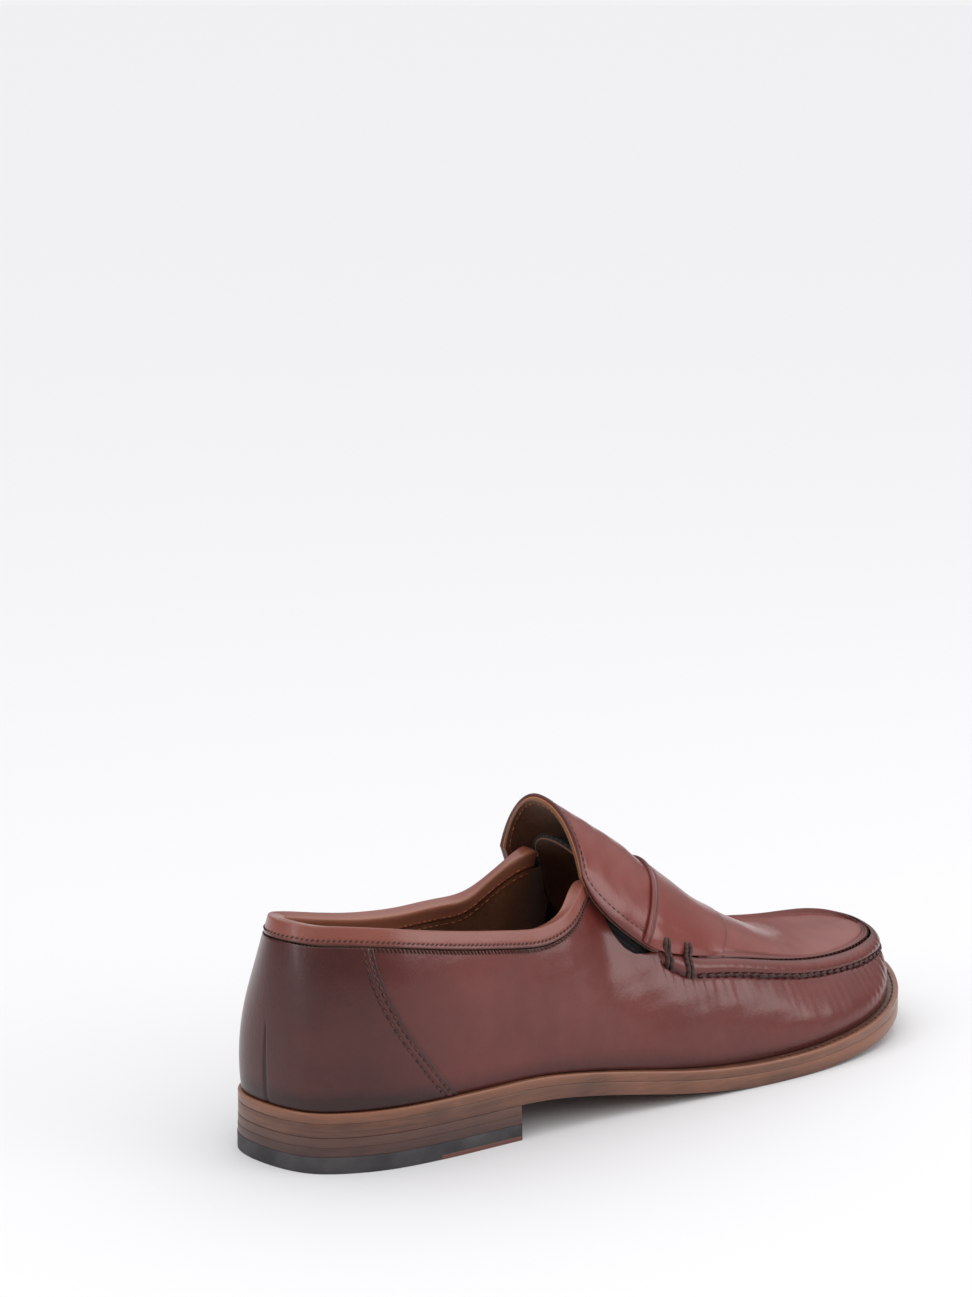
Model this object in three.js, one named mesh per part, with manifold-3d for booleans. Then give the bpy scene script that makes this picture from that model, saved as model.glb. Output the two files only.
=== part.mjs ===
import * as THREE from "three";
import { mergeVertices } from "three/addons/utils/BufferGeometryUtils.js";
import Module from "manifold-3d";

// A right-foot penny loafer, in millimetres: +X to the toe, +Y to the inner side, +Z up.
// It stands on z = 0, centred on the sole in x and y.

const soleLength = 300; // back of the heel to the tip of the sole edge
const ballWidth = 103; // widest part of the sole edge
const collarHeight = 65.9; // top of the collar at the heel above the sole
const heelHeight = 12.8; // underside of the sole above the ground at the heel
const heelLength = 84.8; // back of the heel to its breast
const ballPlace = 203; // where the sole touches the ground, from the back of the heel
const toeSpring = 11.8; // underside of the sole tip above the ground
const outsoleThickness = 5;
const weltThickness = 3.5;
const weltWidth = 15;
const topLiftHeight = 6; // the rubber at the foot of the heel
const heelTipHeight = 1.6; // leather tip let into the rubber under the front of the heel
const heelTipStart = 50; // back of the heel to the back of that tip
const liftCount = 2; // leather lifts between the top lift and the outsole
const heelFlare = 0.5; // how far the heel's foot stands out past the sole edge
const upperThickness = 1.8;
const stiffenerThickness = 1;
const liningThickness = 1;
const bindingHeight = 6.5; // rolled edge round the collar
const strapThickness = 1.8;
const goreThickness = 1;
const insoleThickness = 2.5;
const sockThickness = 1.2;
const heelPadThickness = 2;
const heelPadLength = 72;
const shankWidth = 14;
const shankThickness = 1.6;
const shankStart = 48; // from the back of the heel
const shankEnd = 142;
const threadRadius = 0.6;
const lashingRadius = 0.8;
const lashingWraps = 3;
const nailRadius = 0.9;
const nailHeadRadius = 2;
const nailLength = 15;
const nailCount = 5;
const fitGap = 0.3; // between pieces that lie on each other
const layerGap = 0.5; // between the curved layers of the upper
const strapLift = 0.9; // between the strap and what it lies on
const hingeGap = 0.9; // between the tongue flap and its root

// One row for each station round the shoe, from the back of the heel along the outer side, round the
// toe and back along the inner side. The first two numbers are the sole edge, x from the heel and y
// from the middle. The next three are the top edge of the side wall, with its height above the sole.
// The last two say how far the wall swells outwards low down and high up.
const stations = [
  [0, 3, 6, 0, 65.9, 3, 4],
  [4.5, -15, 11, -13, 65.4, 3, 5],
  [15, -25.5, 19, -21.5, 65.4, 4, 6],
  [33, -33, 33, -28.5, 63.7, 5, 7],
  [58, -36.5, 56, -32, 59.4, 4, 7],
  [82, -38, 80, -33, 55.4, 3, 6],
  [104, -39.7, 99, -32.3, 53.8, 2, 6],
  [122, -41.5, 116, -29, 60.2, 2, 6],
  [138, -43.5, 130, -21.5, 68, 2, 6],
  [152, -45.7, 143, -26, 59.4, 2, 6],
  [168, -47.8, 163, -33, 43, 2, 6],
  [190, -50.2, 186, -35, 38.7, 2, 6],
  [214, -51.9, 212, -35, 33.4, 2, 6],
  [238, -50.8, 236, -32, 27.7, 2, 6],
  [262, -45.5, 258, -27.5, 23.2, 1.5, 5],
  [282, -33.5, 275, -21.5, 20.1, 1, 4],
  [295, -17, 287, -13, 17.9, 1, 3.5],
  [300, -1, 291.5, -1, 18.1, 1, 3.5],
  [296, 18, 288.5, 9, 20.3, 1, 3.5],
  [284, 33, 279, 18, 23.2, 1, 4],
  [264, 44.5, 262, 25.5, 25.5, 1.5, 5],
  [240, 50.4, 239, 31, 29.9, 2, 6],
  [215, 50.8, 214, 35.5, 34.6, 2, 6],
  [190, 47.8, 188, 37, 39.3, 2, 6],
  [168, 43.3, 165, 35.5, 43.2, 2, 6],
  [152, 40.2, 145, 27, 59.7, 2, 6],
  [138, 37.8, 129, 14, 73, 2, 6],
  [122, 35.6, 115, 24.5, 56.8, 2, 6],
  [104, 34.6, 100, 29, 50.9, 2, 6],
  [82, 34.5, 80, 28.5, 50.4, 3, 6],
  [58, 35, 56, 25.5, 53.4, 4, 7],
  [36, 35, 35, 20.5, 58.4, 5, 7],
  [17, 30.5, 19, 17, 62.4, 4, 6],
  [3, 20.5, 11, 11, 64.4, 3, 5],
];
const drawnLength = 300; // the shoe that the rows are drawn for
const drawnWidth = 103;
const drawnCollar = 65.9;
const drawnUpper = 1.8;
const stationCount = stations.length;
const toeStation = 17;
const collarEnd = 8.1; // stations from the heel to each end of the collar
const seamStart = 10.4; // stations from the heel to each end of the apron seam

// Rows across the instep, each from the outer edge over the crest to the inner edge: crest x, y and
// height above the sole, outer edge, inner edge, and the angle that sets how round the arch is.
const tongueRows = [
  [127, 3, 95.1, 124.5, -25, 69.3, 126, 24, 71.3, 68],
  [133, 3, 92.2, 126.5, -27, 63.6, 129.5, 26, 66.2, 72],
  [140, 3, 88.9, 130, -29.5, 58.2, 133.5, 28.5, 61, 76],
  [150, 2.5, 83.7, 137, -32, 51.9, 140, 31.5, 54.3, 78],
  [160, 2, 78.5, 146, -34, 45.9, 147.5, 34.5, 47.7, 78],
  [170, 2, 71.4, 155, -36, 42.3, 156.5, 38.2, 43.4, 77],
];
// The rows that follow over the toes, whose edges lie inside the top of the side wall: the station,
// crest x, y and height, and the arch angle.
const apronRows = [
  [10.6, 182, 2, 63.6, 75],
  [11.2, 195, 2, 54.9, 70],
  [12, 214, 2, 44.2, 64],
  [13, 238, 2, 32.2, 58],
  [14, 259, 1, 26, 55],
  [15, 276, 0, 22.2, 52],
  [16, 286.5, 0, 19.3, 50],
  [16.9, 289, 0, 17.3, 50],
];
// The elastic under the tongue: crest x, y, height and arch angle.
const goreRows = [
  [132, 3, 79.5, 75],
  [149, 2.5, 76, 75],
  [163, 2, 67.5, 75],
];
const goreReach = [8.75, 9.9]; // stations between which the elastic joins the side wall

const lerp = THREE.MathUtils.lerp;
const smoothstep = THREE.MathUtils.smoothstep;
const point = (x, y, z) => new THREE.Vector3(x, y, z);
const range = (count) => Array.from({ length: count + 1 }, (_, i) => i / count);

// A cubic B-spline through rows of numbers, one unit of its parameter from each row to the next.
function smoothRows(rows, closed) {
  const count = rows.length;
  const controls = rows.map((row) => [...row]);
  const control = (i) => {
    if (closed) return controls[((i % count) + count) % count];
    if (i < 0) return controls[0].map((value, k) => 2 * value - controls[1][k]);
    if (i >= count) return controls[count - 1].map((value, k) => 2 * value - controls[count - 2][k]);
    return controls[i];
  };
  const at = (place) => {
    const start = closed ? Math.floor(place) : THREE.MathUtils.clamp(Math.floor(place), 0, count - 2);
    const f = place - start;
    const weights = [
      (1 - f) ** 3 / 6,
      (3 * f ** 3 - 6 * f ** 2 + 4) / 6,
      (-3 * f ** 3 + 3 * f ** 2 + 3 * f + 1) / 6,
      f ** 3 / 6,
    ];
    const near = weights.map((_, j) => control(start - 1 + j));
    return rows[0].map((_, k) => weights.reduce((sum, weight, j) => sum + weight * near[j][k], 0));
  };
  const passes = 30;
  for (let pass = 0; pass < passes; pass += 1) {
    rows.forEach((row, i) => {
      const now = at(i);
      row.forEach((value, k) => {
        controls[i][k] += value - now[k];
      });
    });
  }
  return at;
}

const drawnRing = smoothRows(stations, true);
const ringSteps = 12;
const drawnEdge = range(stationCount * ringSteps).map((f) => drawnRing(f * stationCount));
const drawnBox = new THREE.Box2().setFromPoints(drawnEdge.map((row) => new THREE.Vector2(row[0], row[1])));
const drawnMiddle = drawnBox.getCenter(new THREE.Vector2());
const drawnSize = drawnBox.getSize(new THREE.Vector2());
const placeX = (x) => ((x - drawnMiddle.x) * soleLength) / drawnSize.x;
const placeY = (y) => ((y - drawnMiddle.y) * ballWidth) / drawnSize.y;
const placeHeight = (height) => (height * collarHeight) / drawnCollar;
const fromHeel = (x) => x + soleLength / 2;
const heelBreast = heelLength - soleLength / 2;

// Height of the sole's underside: level over the heel, down through the waist to the ball, and up
// again to the toe.
function underside(x) {
  const along = fromHeel(x);
  if (along <= heelLength) return heelHeight;
  const waistShape = 1.12;
  const toeShape = 2.24;
  if (along <= ballPlace) {
    const back = ((ballPlace - along) / (ballPlace - heelLength)) ** waistShape;
    return heelHeight * smoothstep(back, 0, 1);
  }
  return toeSpring * ((along - ballPlace) / (soleLength - ballPlace)) ** toeShape;
}
const weltBottom = (x) => underside(x) + outsoleThickness + fitGap;
const soleTop = (x) => weltBottom(x) + weltThickness;
const boardBottom = (x) => soleTop(x) + fitGap;
const boardTop = (x) => boardBottom(x) + insoleThickness;
const onSole = (x, y, height) => {
  const placed = placeX(x);
  return point(placed, placeY(y), soleTop(placed) + placeHeight(height));
};

// The sole edge at a station, and the same edge moved inwards.
function edgeAt(station) {
  const row = drawnRing(station);
  return new THREE.Vector2(placeX(row[0]), placeY(row[1]));
}
function inwards(station) {
  const step = 0.02;
  const along = edgeAt(station + step).sub(edgeAt(station - step)).normalize();
  return new THREE.Vector2(-along.y, along.x);
}
const insetEdge = (station, inset) => edgeAt(station).addScaledVector(inwards(station), inset);

// The sole's two sides at a given x, for a plate whose edge is inset from the sole edge.
function plateOutline(inset) {
  const edge = range(stationCount * ringSteps).map((f) => insetEdge(f * stationCount, inset));
  const xs = edge.map((p) => p.x);
  const half = toeStation * ringSteps;
  const cross = (side, x) => {
    for (let i = 1; i < side.length; i += 1) {
      const [a, b] = [side[i - 1], side[i]];
      if ((a.x - x) * (b.x - x) <= 0 && a.x !== b.x) return lerp(a.y, b.y, (x - a.x) / (b.x - a.x));
    }
    return (side[0].y + side[side.length - 1].y) / 2;
  };
  return {
    from: Math.min(...xs),
    to: Math.max(...xs),
    sides: (x) => [cross(edge.slice(0, half + 1), x), cross(edge.slice(half), x)],
  };
}

// A closed solid through a row of sections with the same number of points. The end sections are
// closed by joining their points in pairs, so they may be thin strips or convex.
function loft(sections, closed) {
  const size = sections[0].length;
  const positions = sections.flat().flatMap((p) => [p.x, p.y, p.z]);
  const index = [];
  const spans = closed ? sections.length : sections.length - 1;
  for (let i = 0; i < spans; i += 1) {
    const a = i * size;
    const b = ((i + 1) % sections.length) * size;
    for (let j = 0; j < size; j += 1) {
      const k = (j + 1) % size;
      index.push(a + j, b + j, b + k, a + j, b + k, a + k);
    }
  }
  const cap = (start, turned) => {
    for (let j = 0; j < size / 2 - 1; j += 1) {
      const corners = [j, j + 1, size - 2 - j, size - 1 - j].map((k) => start + k);
      const [a, b, c, d] = turned ? corners.reverse() : corners;
      index.push(a, b, c);
      if (c !== d && a !== d) index.push(a, c, d);
    }
  };
  if (!closed) {
    cap(0, false);
    cap((sections.length - 1) * size, true);
  }
  const geometry = new THREE.BufferGeometry();
  geometry.setAttribute("position", new THREE.Float32BufferAttribute(positions, 3));
  geometry.setIndex(index);
  return facingOut(geometry);
}

function facingOut(geometry) {
  const at = geometry.getAttribute("position");
  const index = geometry.getIndex().array;
  const [a, b, c] = [point(), point(), point()];
  let volume = 0;
  for (let i = 0; i < index.length; i += 3) {
    a.fromBufferAttribute(at, index[i]);
    b.fromBufferAttribute(at, index[i + 1]);
    c.fromBufferAttribute(at, index[i + 2]);
    volume += a.dot(b.cross(c));
  }
  if (volume < 0) {
    for (let i = 0; i < index.length; i += 3) {
      [index[i + 1], index[i + 2]] = [index[i + 2], index[i + 1]];
    }
  }
  return geometry;
}

// A plate between two heights, from one x to another, with the sole's outline inset.
function plate({ inset = 0, from = -Infinity, to = Infinity, bottom, top, slices = 26 }) {
  const outline = plateOutline(inset);
  const tip = 0.06;
  const start = Math.max(from, outline.from + tip);
  const end = Math.min(to, outline.to - tip);
  const sections = range(slices).map((f) => {
    const x = lerp(start, end, (1 - Math.cos(Math.PI * f)) / 2);
    const [outer, inner] = outline.sides(x);
    return [
      point(x, outer, bottom(x)),
      point(x, inner, bottom(x)),
      point(x, inner, top(x)),
      point(x, outer, top(x)),
    ];
  });
  return loft(sections, false);
}

// The side wall of the upper: a station round the shoe, 0 at the sole to 1 at its top edge, and a
// depth inwards from its outer face.
const heelFeather = 2; // how far the wall's foot stands in from the sole edge
const toeFeather = 4.5;
function wallFace(station, up) {
  const row = drawnRing(station);
  const edge = edgeAt(station);
  const out = inwards(station).negate();
  const feather = lerp(heelFeather, toeFeather, smoothstep(edge.x, heelBreast, placeX(ballPlace)));
  const foot = edge.clone().addScaledVector(out, -feather);
  const top = onSole(row[2], row[3], row[4]);
  const low = soleTop(foot.x) + fitGap;
  const rise = top.z - low;
  const lowPull = 0.38;
  const highPull = 0.32;
  const controls = [
    point(foot.x, foot.y, low),
    point(foot.x + out.x * row[5], foot.y + out.y * row[5], low + rise * lowPull),
    point(top.x + out.x * row[6], top.y + out.y * row[6], top.z - rise * highPull),
    top,
  ];
  const down = 1 - up;
  const weights = [down ** 3, 3 * down ** 2 * up, 3 * down * up ** 2, up ** 3];
  return controls.reduce((sum, p, i) => sum.addScaledVector(p, weights[i]), point(0, 0, 0));
}
function wall(station, up, depth) {
  const step = 0.02;
  const round = wallFace(station + step, up).sub(wallFace(station - step, up));
  const climb = wallFace(station, up + step).sub(wallFace(station, up - step));
  const normal = round.cross(climb).normalize();
  const levelBelow = 0.15;
  normal.z *= THREE.MathUtils.clamp(up / levelBelow, 0, 1);
  return wallFace(station, up).addScaledVector(normal.normalize(), -depth);
}

// Where the collar binding starts, measured down from the top edge.
function bindingFoot(station) {
  const top = wallFace(station, 1);
  const lowest = 0.6;
  let [low, high] = [lowest, 1];
  const halvings = 20;
  for (let i = 0; i < halvings; i += 1) {
    const middle = (low + high) / 2;
    if (wallFace(station, middle).distanceTo(top) > bindingHeight) low = middle;
    else high = middle;
  }
  return low;
}
const fromHeelBack = (station) => Math.min(station, stationCount - station);

// How high a layer of the wall reaches: below the binding along the collar, and to the given share
// of the wall in front of it.
function layerTop(station, front) {
  const away = fromHeelBack(((station % stationCount) + stationCount) % stationCount);
  const start = collarEnd + 0.1;
  const end = collarEnd + 0.6;
  if (away >= end) return front;
  const below = bindingFoot(station) - 0.01;
  return lerp(below, front, smoothstep(away, start, end));
}

// A layer of the side wall between two seams, each a station for a share of the height.
function wallLayer({ start, end, depth, thickness, top = () => 1, bottom = 0, rows = 4, columns }) {
  const sections = range(columns).map((f) => {
    const height = (g) => {
      const middle = lerp(start(g), end(g), f);
      return lerp(bottom, top(middle), g);
    };
    const face = (inset) =>
      range(rows).map((g) => wall(lerp(start(g), end(g), f), height(g), depth + inset));
    return [...face(0), ...face(thickness).reverse()];
  });
  return loft(sections, false);
}
const columnsPerStation = 3;

// The curved seam between the side wall and the cover round the heel.
const counterSeam = (up) => 2.65 + 1.35 * (1 - up) ** 1.5;
const seamHalfGap = 0.02;

// An arch across the foot: 0 at the crest, 1 at the given side's edge.
function archPoint(crest, edge, angle, share) {
  const full = THREE.MathUtils.degToRad(angle);
  const sideways = Math.sin(full * share) / Math.sin(full);
  const downwards = (1 - Math.cos(full * share)) / (1 - Math.cos(full));
  return point(
    lerp(crest.x, edge.x, downwards),
    lerp(crest.y, edge.y, sideways),
    lerp(crest.z, edge.z, downwards),
  );
}
const flat = (...points) => points.flatMap((p) => [p.x, p.y, p.z]);
const thicker = upperThickness - drawnUpper; // moves the tongue's edges clear of the wall under them
const inside = (station) => wall(station, 1, upperThickness + layerGap);
const instepAt = smoothRows(
  [
    ...tongueRows.map((row) => [
      ...flat(
        onSole(...row.slice(0, 3)),
        onSole(row[3], row[4] - thicker, row[5]),
        onSole(row[6], row[7] + thicker, row[8]),
      ),
      row[9],
    ]),
    ...apronRows.map(([station, x, y, height, angle]) => [
      ...flat(onSole(x, y, height), inside(station), inside(stationCount - station)),
      angle,
    ]),
  ],
  false,
);
const instepEnd = tongueRows.length + apronRows.length - 1;
const goreAt = smoothRows(
  goreRows.map(([x, y, height, angle], i) => {
    const station = lerp(goreReach[0], goreReach[1], i / (goreRows.length - 1));
    return [...flat(onSole(x, y, height), inside(station), inside(stationCount - station)), angle];
  }),
  false,
);
const archFace = (rowsAt) => (along, across) => {
  const row = rowsAt(along);
  const edge = across < 0 ? row.slice(3, 6) : row.slice(6, 9);
  return archPoint(point(...row.slice(0, 3)), point(...edge), row[9], Math.abs(across));
};
const instepFace = archFace(instepAt);
const goreFace = archFace(goreAt);

// A sheet over the instep between two lines across it, with a depth below its face.
function instepSheet({ face, start, end, reach = () => 1, depth = 0, thickness, across = 14, along = 7 }) {
  const at = (f, side, inset) => {
    const step = 0.01;
    const q = (g) => lerp(start(side), end(side), g);
    const ahead = face(q(f) + step, side).sub(face(q(f) - step, side));
    const sideStep = face(q(f), Math.min(side + step, 1)).sub(face(q(f), Math.max(side - step, -1)));
    const normal = ahead.cross(sideStep).normalize();
    return face(q(f), side).addScaledVector(normal, -inset);
  };
  const sections = range(along).map((f) => {
    const sides = range(across).map((g) => lerp(-1, 1, g) * reach(lerp(start(1), end(1), f)));
    return [
      ...sides.map((side) => at(f, side, depth)),
      ...sides.map((side) => at(f, side, depth + thickness)).reverse(),
    ];
  });
  return loft(sections, false);
}

// A round thread along points on the shoe.
function thread(path, radius, sides = 6, steps = path.length * 2) {
  const curve = new THREE.CatmullRomCurve3(path);
  const outline = range(sides)
    .slice(0, sides)
    .map((f) => new THREE.Vector2(radius, 0).rotateAround(new THREE.Vector2(), f * Math.PI * 2));
  return new THREE.ExtrudeGeometry(new THREE.Shape(outline), { extrudePath: curve, steps });
}

// Cuts and joins, on closed solids whose shared corners are merged.
const wasm = await Module();
wasm.setup();
function solid(geometry) {
  const bare = geometry.clone();
  bare.deleteAttribute("normal");
  bare.deleteAttribute("uv");
  const merged = mergeVertices(bare, 1e-4);
  return new wasm.Manifold(
    new wasm.Mesh({
      numProp: 3,
      vertProperties: new Float32Array(merged.getAttribute("position").array),
      triVerts: new Uint32Array(merged.getIndex().array),
    }),
  );
}
function geometryOf(manifold) {
  const mesh = manifold.getMesh();
  const geometry = new THREE.BufferGeometry();
  geometry.setAttribute("position", new THREE.Float32BufferAttribute(mesh.vertProperties, mesh.numProp));
  geometry.setIndex(Array.from(mesh.triVerts));
  return geometry;
}
const cut = (geometry, tools) =>
  geometryOf(tools.reduce((left, tool) => left.subtract(solid(tool)), solid(geometry)));

const finishes = {
  upper: { color: 0x7a4640, roughness: 0.3, metalness: 0 },
  lining: { color: 0x9a6a3a, roughness: 0.7, metalness: 0 },
  stiffener: { color: 0xb9a88a, roughness: 0.9, metalness: 0 },
  thread: { color: 0x2e1a18, roughness: 0.8, metalness: 0 },
  gore: { color: 0x1e1d20, roughness: 0.9, metalness: 0 },
  edge: { color: 0x7a5040, roughness: 0.5, metalness: 0 },
  stack: { color: 0x5a3a34, roughness: 0.55, metalness: 0 },
  rubber: { color: 0x2c2a2d, roughness: 0.8, metalness: 0 },
  cork: { color: 0xa67c52, roughness: 0.95, metalness: 0 },
  foam: { color: 0xd8cfae, roughness: 1, metalness: 0 },
  steel: { color: 0x9a9da0, roughness: 0.35, metalness: 1 },
  brass: { color: 0xb58a3c, roughness: 0.35, metalness: 1 },
};

const loafer = new THREE.Group();
function add(name, finish, geometry) {
  const mesh = new THREE.Mesh(geometry, new THREE.MeshStandardMaterial(finishes[finish]));
  mesh.name = name;
  loafer.add(mesh);
}

// Heel: nails through a rubber top lift with a leather tip, two leather lifts and the outsole.
const liftThickness = (heelHeight - topLiftHeight - fitGap * (liftCount + 1)) / liftCount;
const nailInset = 13; // nails stand this far in from the edge of the heel and from its breast
function stationAt(x) {
  let [low, high] = [0, toeStation];
  const halvings = 30;
  for (let i = 0; i < halvings; i += 1) {
    const middle = (low + high) / 2;
    if (insetEdge(middle, nailInset).x < x) low = middle;
    else high = middle;
  }
  return low;
}
const lastNail = stationAt(heelBreast - nailInset);
const nailPlaces = range(nailCount - 1).map((f) => insetEdge(lerp(-lastNail, lastNail, f), nailInset));
function pin(places, radius, from, to) {
  const sides = 12;
  return places.map((place) => {
    const geometry = new THREE.CylinderGeometry(radius, radius, to - from, sides);
    geometry.rotateX(Math.PI / 2);
    geometry.translate(place.x, place.y, (from + to) / 2);
    return geometry;
  });
}
const nailHeadHeight = 1.2;
const nailFoot = fitGap;
const nailTop = nailFoot + nailLength;
const nailHoles = [
  ...pin(nailPlaces, nailRadius + fitGap, -1, nailTop + fitGap),
  ...pin(nailPlaces, nailHeadRadius + fitGap, -1, nailFoot + nailHeadHeight + fitGap),
];
const flareAt = (z) => heelFlare * (1 - z / heelHeight);
const heelLayer = (name, finish, from, low, high, notches = []) => {
  const blank = plate({
    inset: -flareAt((low + high) / 2),
    from,
    to: heelBreast,
    bottom: () => low,
    top: () => high,
    slices: 20,
  });
  add(name, finish, cut(blank, [...nailHoles, ...notches]));
};
const tipStart = heelTipStart - soleLength / 2;
const notchLength = heelLength; // runs out past the breast
const tipNotch = new THREE.BoxGeometry(notchLength, ballWidth, 2 * (heelTipHeight + fitGap));
tipNotch.translate(tipStart + notchLength / 2, 0, 0);
heelLayer("top_lift_rubber", "rubber", -Infinity, 0, topLiftHeight, [tipNotch]);
heelLayer("top_lift_leather", "stack", tipStart + fitGap, 0, heelTipHeight);
for (let i = 0; i < liftCount; i += 1) {
  const low = topLiftHeight + fitGap + i * (liftThickness + fitGap);
  heelLayer(`heel_lift_${i + 1}`, "stack", -Infinity, low, low + liftThickness);
}
nailPlaces.forEach((place, i) => {
  const [shaft] = pin([place], nailRadius, nailFoot + nailHeadHeight / 2, nailTop);
  const [head] = pin([place], nailHeadRadius, nailFoot, nailFoot + nailHeadHeight);
  add(`heel_nail_${i + 1}`, "brass", geometryOf(solid(head).add(solid(shaft))));
});

// Bottom: outsole, welt, cork filler, shank, insole board, heel pad and sock.
const outsoleTop = (x) => underside(x) + outsoleThickness;
add("outsole", "edge", cut(plate({ bottom: underside, top: outsoleTop, slices: 32 }), nailHoles));

const weltColumns = 68;
const weltSections = range(weltColumns)
  .slice(0, weltColumns)
  .map((f) => {
    const station = f * stationCount;
    const outer = insetEdge(station, 0);
    const inner = insetEdge(station, weltWidth);
    return [
      point(outer.x, outer.y, weltBottom(outer.x)),
      point(inner.x, inner.y, weltBottom(inner.x)),
      point(inner.x, inner.y, soleTop(inner.x)),
      point(outer.x, outer.y, soleTop(outer.x)),
    ];
  });
add("welt", "edge", loft(weltSections, true));

const fillerInset = weltWidth + fitGap * 2;
const fillerTop = (x) => soleTop(x) - fitGap;
const fillerBottom = (x) => weltBottom(x) + fitGap;
const shankBack = shankStart - soleLength / 2;
const shankFront = shankEnd - soleLength / 2;
const corkStart = shankFront + 4;
add("cork_filler", "cork", plate({
  inset: fillerInset,
  from: corkStart,
  bottom: fillerBottom,
  top: fillerTop,
  slices: 24,
}));
const shankSections = range(16).map((f) => {
  const x = lerp(shankBack, shankFront, f);
  const low = weltBottom(x) + fitGap * 2;
  const half = shankWidth / 2;
  const middle = edgeAt(0).y;
  return [
    point(x, middle - half, low),
    point(x, middle + half, low),
    point(x, middle + half, low + shankThickness),
    point(x, middle - half, low + shankThickness),
  ];
});
add("shank", "steel", loft(shankSections, false));

const boardInset = toeFeather + upperThickness + stiffenerThickness + liningThickness + layerGap * 3;
add("insole_board", "stiffener", plate({ inset: boardInset, bottom: boardBottom, top: boardTop }));
const padFront = heelPadLength - soleLength / 2;
const padFade = 14;
const padAt = (x) => heelPadThickness * (1 - smoothstep(x, padFront - padFade, padFront + padFade));
const sockInset = boardInset + 1.5;
add("heel_pad", "foam", plate({
  inset: sockInset + 2,
  to: padFront,
  bottom: (x) => boardTop(x) + fitGap,
  top: (x) => boardTop(x) + fitGap + padAt(x),
  slices: 20,
}));
const sockBottom = (x) => boardTop(x) + fitGap * 2 + padAt(x);
add("sock_lining", "lining", plate({
  inset: sockInset,
  bottom: sockBottom,
  top: (x) => sockBottom(x) + sockThickness,
}));

// Upper: side wall, heel cover, stiffeners and linings.
const wholeTop = (station) => layerTop(station, 1);
add("side_wall", "upper", wallLayer({
  start: (g) => counterSeam(g) + seamHalfGap,
  end: (g) => stationCount - counterSeam(g) - seamHalfGap,
  depth: 0,
  thickness: upperThickness,
  top: wholeTop,
  columns: Math.round((stationCount - 2 * counterSeam(0)) * columnsPerStation),
}));
add("heel_cover", "upper", wallLayer({
  start: (g) => -counterSeam(g) + seamHalfGap,
  end: (g) => counterSeam(g) - seamHalfGap,
  depth: 0,
  thickness: upperThickness,
  top: wholeTop,
  columns: 28,
}));
const stiffenerDepth = upperThickness + layerGap;
const counterReach = 3.9;
add("heel_counter", "stiffener", wallLayer({
  start: () => -counterReach,
  end: () => counterReach,
  depth: stiffenerDepth,
  thickness: stiffenerThickness,
  top: () => 0.72,
  rows: 3,
  columns: 32,
}));
const puffReach = 3;
add("toe_puff", "stiffener", wallLayer({
  start: () => toeStation - puffReach,
  end: () => toeStation + puffReach,
  depth: stiffenerDepth,
  thickness: stiffenerThickness,
  top: () => 0.72,
  rows: 3,
  columns: 6 * columnsPerStation,
}));
const liningDepth = stiffenerDepth + stiffenerThickness + layerGap;
const liningJoint = 9.4;
const liningTop = (station) => layerTop(station, 0.8);
add("quarter_lining", "lining", wallLayer({
  start: () => -liningJoint,
  end: () => liningJoint,
  depth: liningDepth,
  thickness: liningThickness,
  top: liningTop,
  rows: 3,
  columns: 19 * columnsPerStation,
}));
add("vamp_lining", "lining", wallLayer({
  start: () => liningJoint + 0.05,
  end: () => stationCount - liningJoint - 0.05,
  depth: liningDepth,
  thickness: liningThickness,
  top: () => 0.76,
  rows: 3,
  columns: 15 * columnsPerStation,
}));

// The rolled binding round the collar covers the top of the wall and of the linings.
const bindingDepth = liningDepth + liningThickness + 0.4;
const bindingProud = 0.4;
const bindingColumns = Math.round(2 * collarEnd * columnsPerStation);
const bindingSections = range(bindingColumns).map((f) => {
  const station = lerp(-collarEnd, collarEnd, f);
  const foot = bindingFoot(station);
  const at = (share, depth) => wall(station, lerp(foot, 1, share), depth);
  return [
    at(0, -bindingProud),
    at(0.5, -bindingProud * 1.5),
    at(0.85, 0),
    at(1, bindingDepth * 0.3),
    at(1, bindingDepth * 0.7),
    at(0.85, bindingDepth * 0.98),
    at(0.5, bindingDepth * 1.05),
    at(0, bindingDepth),
  ];
});
add("collar_binding", "upper", loft(bindingSections, false));

// Instep: the tongue's free flap and its lining, the root that the strap holds down, the apron over
// the toes and its lining, the strap, and the elastic under the tongue.
const flapFront = (side) => 4.3 - 1.7 * side ** 2;
const rootEnd = 5.15;
const flapGap = hingeGap / 10; // in rows, which lie about 10 mm apart
add("tongue", "upper", instepSheet({
  face: instepFace,
  start: () => 0,
  end: (side) => flapFront(side) - flapGap,
  thickness: upperThickness,
  along: 7,
}));
add("tongue_lining", "lining", instepSheet({
  face: instepFace,
  start: () => 0.2,
  end: (side) => flapFront(side) - flapGap * 1.5,
  reach: () => 0.93,
  depth: upperThickness + fitGap,
  thickness: liningThickness,
  along: 7,
}));
add("tongue_root", "upper", instepSheet({
  face: instepFace,
  start: (side) => flapFront(side),
  end: () => rootEnd,
  thickness: upperThickness,
  along: 4,
}));
add("apron", "upper", instepSheet({
  face: instepFace,
  start: (side) => rootEnd + 0.1 + 0.7 * side ** 2,
  end: () => instepEnd,
  thickness: upperThickness,
  along: 16,
}));
add("apron_lining", "lining", instepSheet({
  face: instepFace,
  start: () => rootEnd + 0.2,
  end: () => instepEnd - 1,
  reach: () => 0.84,
  depth: upperThickness + layerGap,
  thickness: liningThickness,
  across: 10,
  along: 12,
}));
const strapBack = (side) => 5.1 - 1.33 * (Math.hypot(side, 0.2) - 0.2) ** 0.6;
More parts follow.
